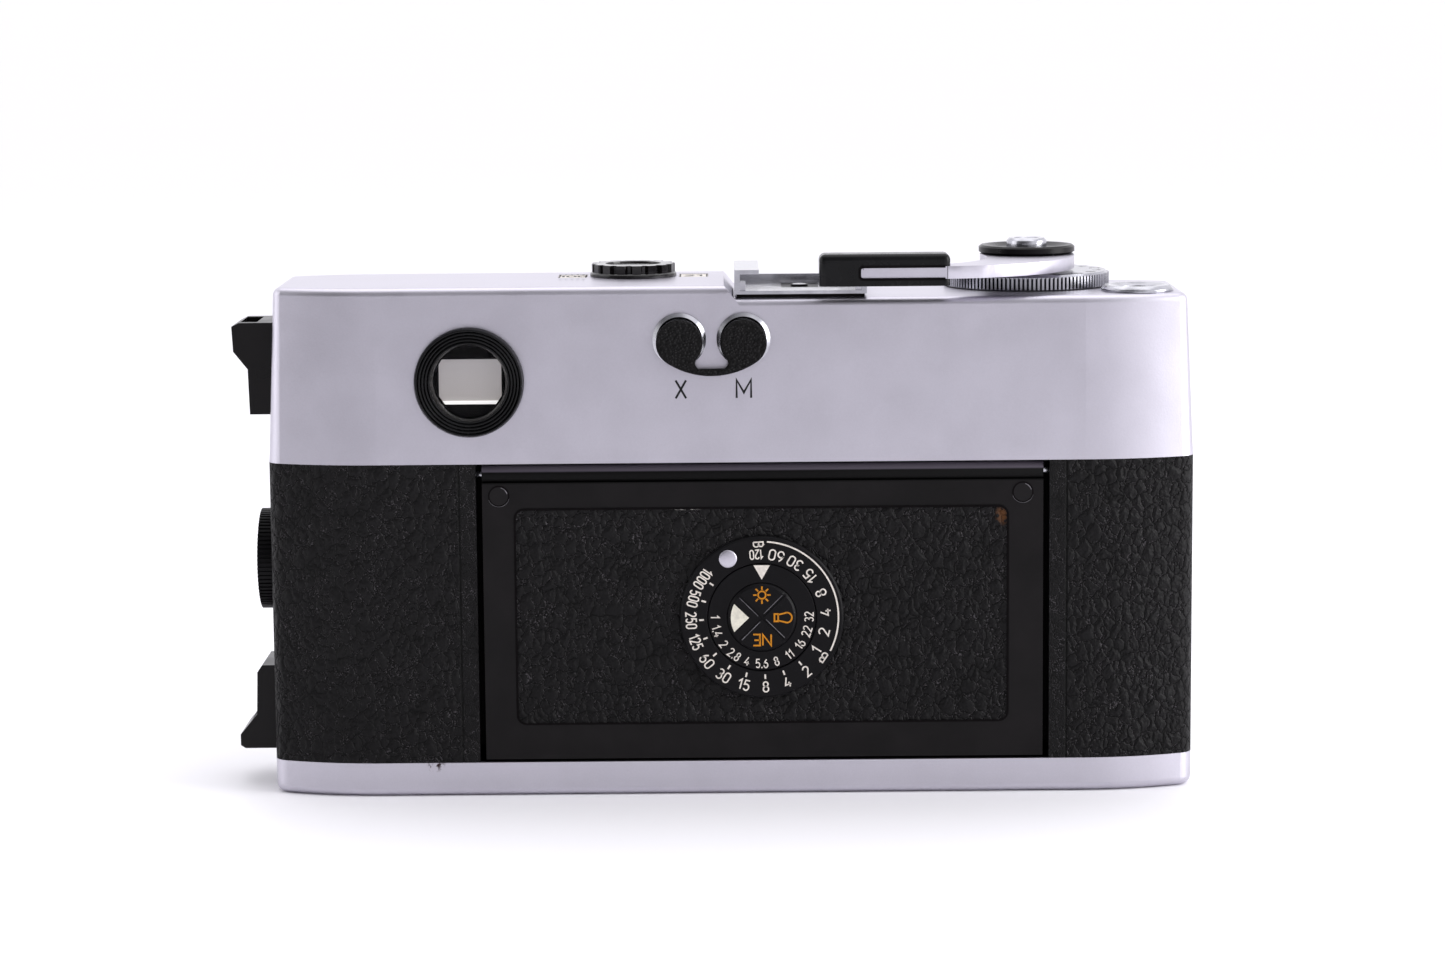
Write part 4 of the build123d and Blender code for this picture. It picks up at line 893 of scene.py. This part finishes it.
class RANGEFINDER_OT_exposure_dial(bpy.types.Operator):
    """Prints the exposure dial on the back door and finishes the door"""
    bl_idname = "rangefinder.exposure_dial"
    bl_label = "Back door and exposure dial"

    def execute(self, context):
        dress("hinged_enamel", door_frame=1)
        dress("stoved_enamel", door_rivets=1)
        dress("leathercloth_door", door_leather=0)
        dress("black_anodising", exposure_scale=0.7, exposure_disc=0.7, film_type_knob=0.5,
              pressure_plate=1)
        dress("turned_chrome", door_hinge_pin=1)
        self.light_trap()
        self.door_gaps()
        self.scale_ring()
        self.stop_disc()
        self.knob_signs()
        self.knob_pointer()
        return {"FINISHED"}

    def light_trap(self):
        """Three flat black strips behind the gaps at the sides and foot of the door."""
        lo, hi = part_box("door_frame")
        back = hi.y + 0.45 * MM
        deep, lap, beyond = 0.4 * MM, 1.8 * MM, 1.3 * MM
        foot, top = low("leatherette").z - 1.0 * MM, hi.z - 1.5 * MM
        mesh = bmesh.new()
        for left, right, over in ((lo.x - beyond, lo.x + lap, top), (hi.x - lap, hi.x + beyond, top),
                                  (lo.x - beyond, hi.x + beyond, lo.z + lap)):
            at = facing((left, back, foot), Z, -Y)
            prism(mesh, rectangle(0, 0, right - left, over - foot), deep, at)
        publish("door_light_trap", mesh, "flat_black", "camera")

    def door_gaps(self):
        """Painted shade: a flat black line round the insert and a ring round each rivet stand for the
        dark gaps there; short grey arcs at the rivets are painted highlights.
        """
        lo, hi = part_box("door_leather")
        face = min(low("door_frame").y + 0.02 * MM, low("door_leather").y)
        at = facing(((lo.x + hi.x) / 2, face, (lo.z + hi.z) / 2), Z, -Y)
        wide, tall, corner = (hi.x - lo.x) / 2, (hi.z - lo.z) / 2, 1.5 * MM
        outline = []
        across, up = wide - corner, tall - corner
        for i, (x, y) in enumerate(((1, 1), (-1, 1), (-1, -1), (1, -1))):
            outline += bow(x * across, y * up, corner, corner, 90 * i, 90 * i + 90, 6)
        # painted shade: flat black lines round the insert and round each rivet stand for the shadow in
        # the gaps
        mesh = bmesh.new()
        ribbon(mesh, outline, 0.34 * MM, at, closed=True)
        lo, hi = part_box("door_rivets")
        head = (hi.z - lo.z) / 2
        places = [facing((x, lo.y, (lo.z + hi.z) / 2), Z, -Y) for x in (lo.x + head, hi.x - head)]
        for place in places:
            ribbon(mesh, arc(head, 0, 352, 44), 0.22 * MM, place, closed=True)
        publish("door_gaps", mesh, "flat_black", "back_door")
        # painted highlights: short grey arcs on and just outside each rivet's rim stand for the light
        # those edges catch
        mesh = bmesh.new()
        for place in places:
            ribbon(mesh, arc(head - 0.2 * MM, 15, 75, 10), 0.11 * MM, place)
            ribbon(mesh, arc(head + 0.12 * MM, 200, 345, 24), 0.07 * MM, place)
        publish("door_rivet_edges", mesh, "painted_edge_highlight", "back_door")

    def plane(self, node):
        """The printing plane of a dial part, with X to the right and Y up as the user sees it."""
        centre = middle(node)
        return facing((centre.x, low(node).y, centre.z), Z, -Y)

    def figure(self, mesh, at, text, radius, angle, height, squeeze):
        """A figure on the ring with its top towards the middle."""
        turned = at @ Matrix.Rotation(angle + math.pi / 2, 4, "Z") @ Matrix.Translation((0, -radius, 0))
        lettering(mesh, text, height, turned, 0.14, 0.24, squeeze)

    def scale_ring(self):
        """Fractions of a second on the left and whole seconds on the right, with an arc over the
        long times, a B at each end of it, and a raised dot."""
        s = sizes()
        at = self.plane("exposure_scale")
        outer, inner, tick = 11.45 * MM, 10.3 * MM, (9.4 * MM, 10.15 * MM)
        mesh = bmesh.new()
        for i, text in enumerate(("1000", "500", "250", "125", "60", "30", "15", "8", "4", "2")):
            angle = math.radians(146) + i * s.dial_step
            self.figure(mesh, at, text, outer, angle, s.figure, 0.79 if len(text) > 2 else 1.05)
            ribbon(mesh, [heading(angle) * tick[0], heading(angle) * tick[1]], 0.28 * MM, at)
        for i, text in enumerate(("1", "2", "4", "8", "15", "30", "60", "120")):
            tall, squeeze = (s.figure * 0.88, 0.8) if len(text) > 2 else (s.figure, 1.15)
            self.figure(mesh, at, text, inner, math.radians(328) + i * s.dial_step, tall, squeeze)
        for angle in (92.5, -34):
            around = at @ Matrix.Rotation(math.radians(angle), 4, "Z")
            turn = around @ Matrix.Translation((11.9 * MM, 0, 0)) @ Matrix.Rotation(math.pi, 4, "Z")
            lettering(mesh, "B", s.figure * 0.95, turn, 0.14)
        ribbon(mesh, arc(12.35 * MM, -27, 86, 48), 0.26 * MM, at)
        publish("exposure_scale_print", mesh, "white_print", "back_door")
        profile = ((0.0001, 0.14), (1.15, 0.14), (1.38, 0.06), (1.45, -0.02), (0.0001, -0.02))
        place = heading(math.radians(119.6)) * 11.0 * MM
        mesh = bmesh.new()
        lathe(mesh, [(radius * MM, height * MM) for radius, height in profile],
              at @ Matrix.Translation(place.to_3d()), 48)
        publish("exposure_scale_dot", mesh, "satin_chrome", "back_door", smooth=True)

    def stop_disc(self):
        """The lens stops round the turning disc, and its white arrowhead."""
        s = sizes()
        at = self.plane("exposure_disc")
        mesh = bmesh.new()
        for i, text in enumerate(("1", "1.4", "2", "2.8", "4", "5.6", "8", "11", "16", "22", "32")):
            angle = math.radians(179) + i * s.dial_step
            self.figure(mesh, at, text, 7.6 * MM, angle, s.small_figure, 0.9)
        half, tip, base = 1.33 * MM, 6.15 * MM, 8.5 * MM
        flat_shape(mesh, [(0, tip), (half, base), (-half, base)], at)
        publish("exposure_disc_print", mesh, "white_print", "exposure_disc")

    def knob_signs(self):
        """Sun, lamp and negative film, one in each of three quarters of the knob."""
        at = self.plane("film_type_knob")
        line, ring = 0.26 * MM, 0.62 * MM
        mesh = bmesh.new()
        sun = at @ Matrix.Translation((0, 3.72 * MM, 0))
        ribbon(mesh, arc(ring, 0, 345, 20), line, sun, closed=True)
        for i in range(8):
            out = heading(i * math.pi / 4)
            ribbon(mesh, [out * 0.85 * MM, out * 1.42 * MM], line, sun)
        lamp = at @ Matrix.Translation((3.4 * MM, 0, 0))
        bulb = [(-0.75, 0.5)] + bow(0.62, 0, 0.8, 0.82, 120, -120) + [(-0.75, -0.5)]
        ribbon(mesh, [(x * MM, y * MM) for x, y in bulb], line, lamp)
        cap = rectangle(-0.8 * MM, 0.6 * MM, -1.4 * MM, -0.6 * MM)
        ribbon(mesh, cap, line, lamp, closed=True)
        word = at @ Matrix.Rotation(math.pi, 4, "Z") @ Matrix.Translation((0, 3.64 * MM, 0))
        lettering(mesh, "NE", 1.8 * MM, word, 0.15, 0.26)
        publish("film_type_signs", mesh, "orange_print", "film_type_knob")

    def knob_pointer(self):
        """Painted highlights along the knob's crossed grooves, and the pointer in its fourth quarter."""
        at = self.plane("film_type_knob")
        groove, reach = 0.5 * MM, 4.9 * MM
        mesh = bmesh.new()
        # painted highlight: thin grey lines along each groove stand for the light its edge catches
        for i in range(4):
            arm = at @ Matrix.Rotation(math.radians(45 + 90 * i), 4, "Z")
            ribbon(mesh, [(groove * 1.3, groove / 2), (reach, groove / 2)], 0.1 * MM, arm)
        publish("film_type_edges", mesh, "painted_edge_highlight", "film_type_knob")
        mesh = bmesh.new()
        flat_shape(mesh, arc(5.05 * MM, 153, 207, 8) + [(-2.1 * MM, 0)], at)
        publish("film_type_pointer", mesh, "cream_print", "film_type_knob")


class RANGEFINDER_OT_top_controls(bpy.types.Operator):
    """Finishes the lever, dials, release and frame counter"""
    bl_idname = "rangefinder.top_controls"
    bl_label = "Top controls"

    def execute(self, context):
        dress("satin_chrome", lever_arm=1)
        dress("moulded_abs", lever_tip=1.5)
        dress("stoved_enamel", lever_cap=0)
        dress("knurled_chrome", speed_dial=0)
        dress("turned_chrome", release_button=0.5, counter_bezel=0.5)
        dress("machined_brass", wind_shaft=0)
        dress("gloss_enamel", iso_knob=0.8)
        dress("white_print", iso_scale=0)
        dress("window_glass", counter_glass=0)
        dress("black_anodising", counter_disc=0)
        self.lever_slot()
        self.speed_figures()
        self.counter_figures()
        self.film_speed_marks()
        return {"FINISHED"}

    def ring_figures(self, mesh, node, texts, radius, size, first, step):
        """Figures round the top of a dial, with their tops towards its middle."""
        centre = Vector((middle(node).x, middle(node).y, high(node).z))
        for i, text in enumerate(texts):
            out = heading(first + i * step).to_3d()
            lettering(mesh, text, size, facing(centre + out * radius, -out, Z))

    def lever_slot(self):
        """Painted shade: a flat black line standing for the dark gap between the lever's tip and the arm
        that runs into it.
        """
        tip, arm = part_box("lever_tip"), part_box("lever_arm")
        half, turn = 1.0 * MM, 0.55 * MM
        at = facing((arm[0].x, tip[0].y, arm[1].z - half), Z, -Y)
        reach = tip[1].x - arm[0].x - 0.8 * MM
        path = [(reach, half), (turn, half)] + bow(turn, half - turn, turn, turn, 90, 180, 5)
        path += bow(turn, turn - half, turn, turn, 180, 270, 5) + [(reach, -half)]
        # painted shade: the flat black line round the arm's end stands for the shadow in the gap
        mesh = bmesh.new()
        ribbon(mesh, path, 0.42 * MM, at)
        publish("lever_slot", mesh, "flat_black", "wind_lever")

    def speed_figures(self):
        texts = "B 30 15 8 4 2 1 2 4 8 15 30 60 125 250 500 1000".split()
        step = 2 * math.pi / (len(texts) + 1)
        mesh = bmesh.new()
        self.ring_figures(mesh, "speed_dial", texts, 11.6 * MM, 1.5 * MM, -math.pi / 2, step)
        publish("speed_dial_print", mesh, "engraving_paint", "speed_dial")

    def counter_figures(self):
        texts = "0 5 10 15 20 25 30 35".split()
        step = -2 * math.pi / (len(texts) + 1)
        mesh = bmesh.new()
        self.ring_figures(mesh, "counter_disc", texts, 3.9 * MM, 1.2 * MM, math.radians(-45), step)
        publish("counter_print", mesh, "white_print", "counter_disc")

    def film_speed_marks(self):
        """Figures and borders on the strips in the two windows, and five marks behind the left one."""
        lo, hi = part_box("iso_scale")
        flange, window_wide, line = 0.4 * MM, 4.8 * MM, 0.22 * MM
        half = (hi.y - lo.y) / 2
        w, h = window_wide / 2 - line, half - flange - line
        inset = flange + window_wide / 2
        mesh = bmesh.new()
        for x, text in ((lo.x + inset, "100"), (hi.x - inset, "21")):
            at = facing((x, (lo.y + hi.y) / 2, hi.z), Y, Z)
            lettering(mesh, text, 2.6 * MM, at)
            ribbon(mesh, rectangle(-w, -h, w, h), line, at, closed=True)
        mark = rectangle(-0.17 * MM, -0.8 * MM, 0.17 * MM, 0.8 * MM)
        for i in range(5):
            place = (lo.x + (0.9 + i * 0.95) * MM, lo.y - 1.4 * MM, high("top_plate").z)
            flat_shape(mesh, mark, Matrix.Translation(place))
        publish("film_speed_print", mesh, "engraving_paint", "camera")


class RANGEFINDER_OT_base(bpy.types.Operator):
    """Finishes the base key and the rewind crank"""
    bl_idname = "rangefinder.base"
    bl_label = "Base controls"

    def execute(self, context):
        dress("turned_chrome", key_disc=0.6, key_bail=0.6, crank_disc=0.6, crank_arm=0.6,
              crank_grip=0.6)
        return {"FINISHED"}


class RANGEFINDER_OT_film_path(bpy.types.Operator):
    """Finishes the parts that hold and move the film"""
    bl_idname = "rangefinder.film_path"
    bl_label = "Film path"

    def execute(self, context):
        dress("cast_alloy", shutter_crate=0)
        dress("rubberised_silk", shutter_curtain=0)
        dress("turned_chrome", curtain_drums=0)
        dress("black_anodising", cassette_well=0)
        dress("moulded_abs", take_up_spool=0)
        return {"FINISHED"}


class RANGEFINDER_OT_lens(bpy.types.Operator):
    """Finishes the lens, its rings, glass and iris"""
    bl_idname = "rangefinder.lens"
    bl_label = "Lens"

    def execute(self, context):
        dress("turned_chrome", lens_flange=1, lens_release_button=1)
        dress("black_anodising", lens_barrel=1, focus_ring=0.8, aperture_ring=0.8)
        dress("coated_glass", front_element=0, rear_element=0)
        dress("satin_chrome", frame_selector=1.5, self_timer_lever=1.5, rewind_release=1.5)
        self.iris()
        self.figures()
        self.dots()
        return {"FINISHED"}

    def iris(self):
        """Thin blades that leave a polygon open in the middle of the barrel."""
        centre, rear = middle("lens_barrel"), low("lens_barrel").y
        count, place, lap = sizes().blades, 16.0 * MM, 0.05 * MM
        blade = [(x * MM, y * MM) for x, y in ((-2.5, 6), (12, 5), (14, 9), (5, 15.5), (-4, 15))]
        mesh = bmesh.new()
        for i in range(count):
            at = facing((centre.x, rear + place + lap * i, centre.z), Z, Y)
            prism(mesh, blade, 0.04 * MM, at @ Matrix.Rotation(2 * math.pi * i / count, 4, "Z"))
        publish("iris_blades", mesh, "black_anodising", "camera")

    def on_barrel(self, turn, along, radius):
        """The matrix of a drawing on the barrel, read from behind the camera, turned from the top."""
        out = Vector((math.sin(turn), 0, math.cos(turn)))
        centre = middle("lens_barrel")
        return facing(Vector((centre.x, along, centre.z)) + out * radius, Y, out)

    def figures(self):
        """Distances on the focus ring, stops on the aperture ring, and the depth scale between them."""
        focus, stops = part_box("focus_ring"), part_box("aperture_ring")
        tall = 1.5 * MM
        for name, body, texts, radius, along, height, first, step in (
                ("focus", "focus_ring", "0.7 0.8 1 1.2 1.5 2 3 5 10 ∞", 23.92, focus[1].y - 2.0 * MM,
                 1.6 * MM, -80, 9.4),
                ("aperture", "aperture_ring", "2 2.8 4 5.6 8 11 16", 22.42, stops[0].y + 1.4 * MM,
                 tall, -40, 13.3),
                ("depth", "camera", "16 8 4 | 4 8 16", 23.42, focus[1].y + 2.4 * MM, tall, -24, 8)):
            mesh = bmesh.new()
            for i, text in enumerate(texts.split()):
                turn = math.radians(first + i * step)
                lettering(mesh, text, height, self.on_barrel(turn, along, radius * MM))
            publish(name + "_print", mesh, "white_print", body)

    def dots(self):
        """The red dots that line up the lens with its mount and its stops with their mark."""
        mesh = bmesh.new()
        for turn, along, radius in ((0, high("aperture_ring").y + 1.2 * MM, 21.62 * MM),
                                    (118, low("focus_ring").y - 0.7 * MM, 23.62 * MM)):
            at = self.on_barrel(math.radians(turn), along, radius)
            flat_shape(mesh, disc_points(0.45 * MM, 24), at)
        publish("lens_dots", mesh, "signal_paint", "camera")


class RANGEFINDER_OT_studio(bpy.types.Operator):
    """Sets up the paper floor, the soft lights and the camera view"""
    bl_idname = "rangefinder.studio"
    bl_label = "Studio"

    def execute(self, context):
        self.floor()
        self.lights()
        self.view()
        return {"FINISHED"}

    def floor(self):
        mesh = bmesh.new()
        bmesh.ops.create_circle(mesh, cap_ends=True, segments=96, radius=60.0)
        data = bpy.data.meshes.new("paper_floor")
        mesh.to_mesh(data)
        mesh.free()
        floor = bpy.data.objects.new("paper_floor", data)
        floor.location.z = -0.05 * MM
        bpy.context.scene.collection.objects.link(floor)
        made, tree, shader, point = start("seamless_paper", {"Specular IOR Level": 0.3})
        tone = tuple(colours().floor)
        handled(tree, shader, (shade(tone, 0.99), tone), 0.5, 0.3)
        data.materials.append(made)

    def lights(self):
        """A white tent all round, open to a dark room behind and to the left, and three soft boxes."""
        world = bpy.data.worlds.new("studio_tent")
        bpy.context.scene.world = world
        world.use_nodes = True
        tree = world.node_tree
        tree.nodes.clear()
        direction = add(tree, "TexCoord").outputs["Generated"]
        dark_side, tent, room = (-0.5, -0.75, 0.4), 1.32, 0.19
        toward = add(tree, "VectorMath", (direction, dark_side), operation="DOT_PRODUCT")
        fade = add(tree, "MapRange", (toward, 0.35, 0.98), interpolation_type="SMOOTHSTEP")
        strength = add(tree, "MapRange", (fade, 0, 1, tent, room))
        air = add(tree, "Background", {"Color": linear("FAF9FE"), "Strength": strength})
        add(tree, "OutputWorld", {"Surface": air})
        aim = Vector((0, 0, 0.045))
        for name, at, wide, tall, power in (
                ("overhead_softbox", (0.0, 0.1, 0.8), 0.9, 0.7, 1.8),
                ("left_softbox", (-0.8, -0.1, 0.3), 0.5, 0.6, 1.2),
                ("right_softbox", (0.8, -0.2, 0.3), 0.5, 0.6, 5.0)):
            data = bpy.data.lights.new(name, "AREA")
            data.shape = "RECTANGLE"
            data.size, data.size_y = wide, tall
            data.energy = power
            lamp = bpy.data.objects.new(name, data)
            lamp.location = at
            lamp.rotation_euler = (aim - Vector(at)).to_track_quat("-Z", "Y").to_euler()
            bpy.context.scene.collection.objects.link(lamp)

    def view(self):
        """A short telephoto view from behind, a little above the camera and tilted down to it."""
        down, roll, place = math.radians(7.8), -0.0085, Vector((-1.45, -606.75, 131.8)) * MM
        data = bpy.data.cameras.new("viewpoint")
        data.lens = 92.2
        data.sensor_width = 36.0
        data.clip_end = 200.0
        data.clip_start = 0.01
        viewpoint = bpy.data.objects.new("viewpoint", data)
        turned = Matrix.Rotation(math.pi / 2 - down, 4, "X") @ Matrix.Rotation(roll, 4, "Z")
        viewpoint.matrix_world = Matrix.Translation(place) @ turned
        bpy.context.scene.collection.objects.link(viewpoint)
        bpy.context.scene.camera = viewpoint
        bpy.context.scene.view_settings.view_transform = "Standard"


class RANGEFINDER_PT_panel(bpy.types.Panel):
    """Lists the sizes, colours and steps of the rangefinder camera"""
    bl_label = "Rangefinder camera"
    bl_idname = "RANGEFINDER_PT_panel"
    bl_space_type = "VIEW_3D"
    bl_region_type = "UI"
    bl_category = "Rangefinder"

    def draw(self, context):
        for group in (context.scene.rangefinder_sizes, context.scene.rangefinder_colours):
            box = self.layout.box()
            for name in group.__annotations__:
                box.prop(group, name)
        for step in STEPS:
            self.layout.operator(step.bl_idname)


STEPS = (
    RANGEFINDER_OT_casing,
    RANGEFINDER_OT_finder,
    RANGEFINDER_OT_flash_sockets,
    RANGEFINDER_OT_accessory_shoe,
    RANGEFINDER_OT_exposure_dial,
    RANGEFINDER_OT_top_controls,
    RANGEFINDER_OT_base,
    RANGEFINDER_OT_film_path,
    RANGEFINDER_OT_lens,
    RANGEFINDER_OT_studio,
)
CLASSES = (RangefinderSizes, RangefinderColours) + STEPS + (RANGEFINDER_PT_panel,)


def register():
    for item in CLASSES:
        bpy.utils.register_class(item)
    bpy.types.Scene.rangefinder_sizes = PointerProperty(type=RangefinderSizes)
    bpy.types.Scene.rangefinder_colours = PointerProperty(type=RangefinderColours)


def unregister():
    del bpy.types.Scene.rangefinder_colours
    del bpy.types.Scene.rangefinder_sizes
    for item in reversed(CLASSES):
        bpy.utils.unregister_class(item)


def main():
    register()
    for step in STEPS:
        group, name = step.bl_idname.split(".")
        getattr(getattr(bpy.ops, group), name)()


if __name__ == "__main__":
    main()
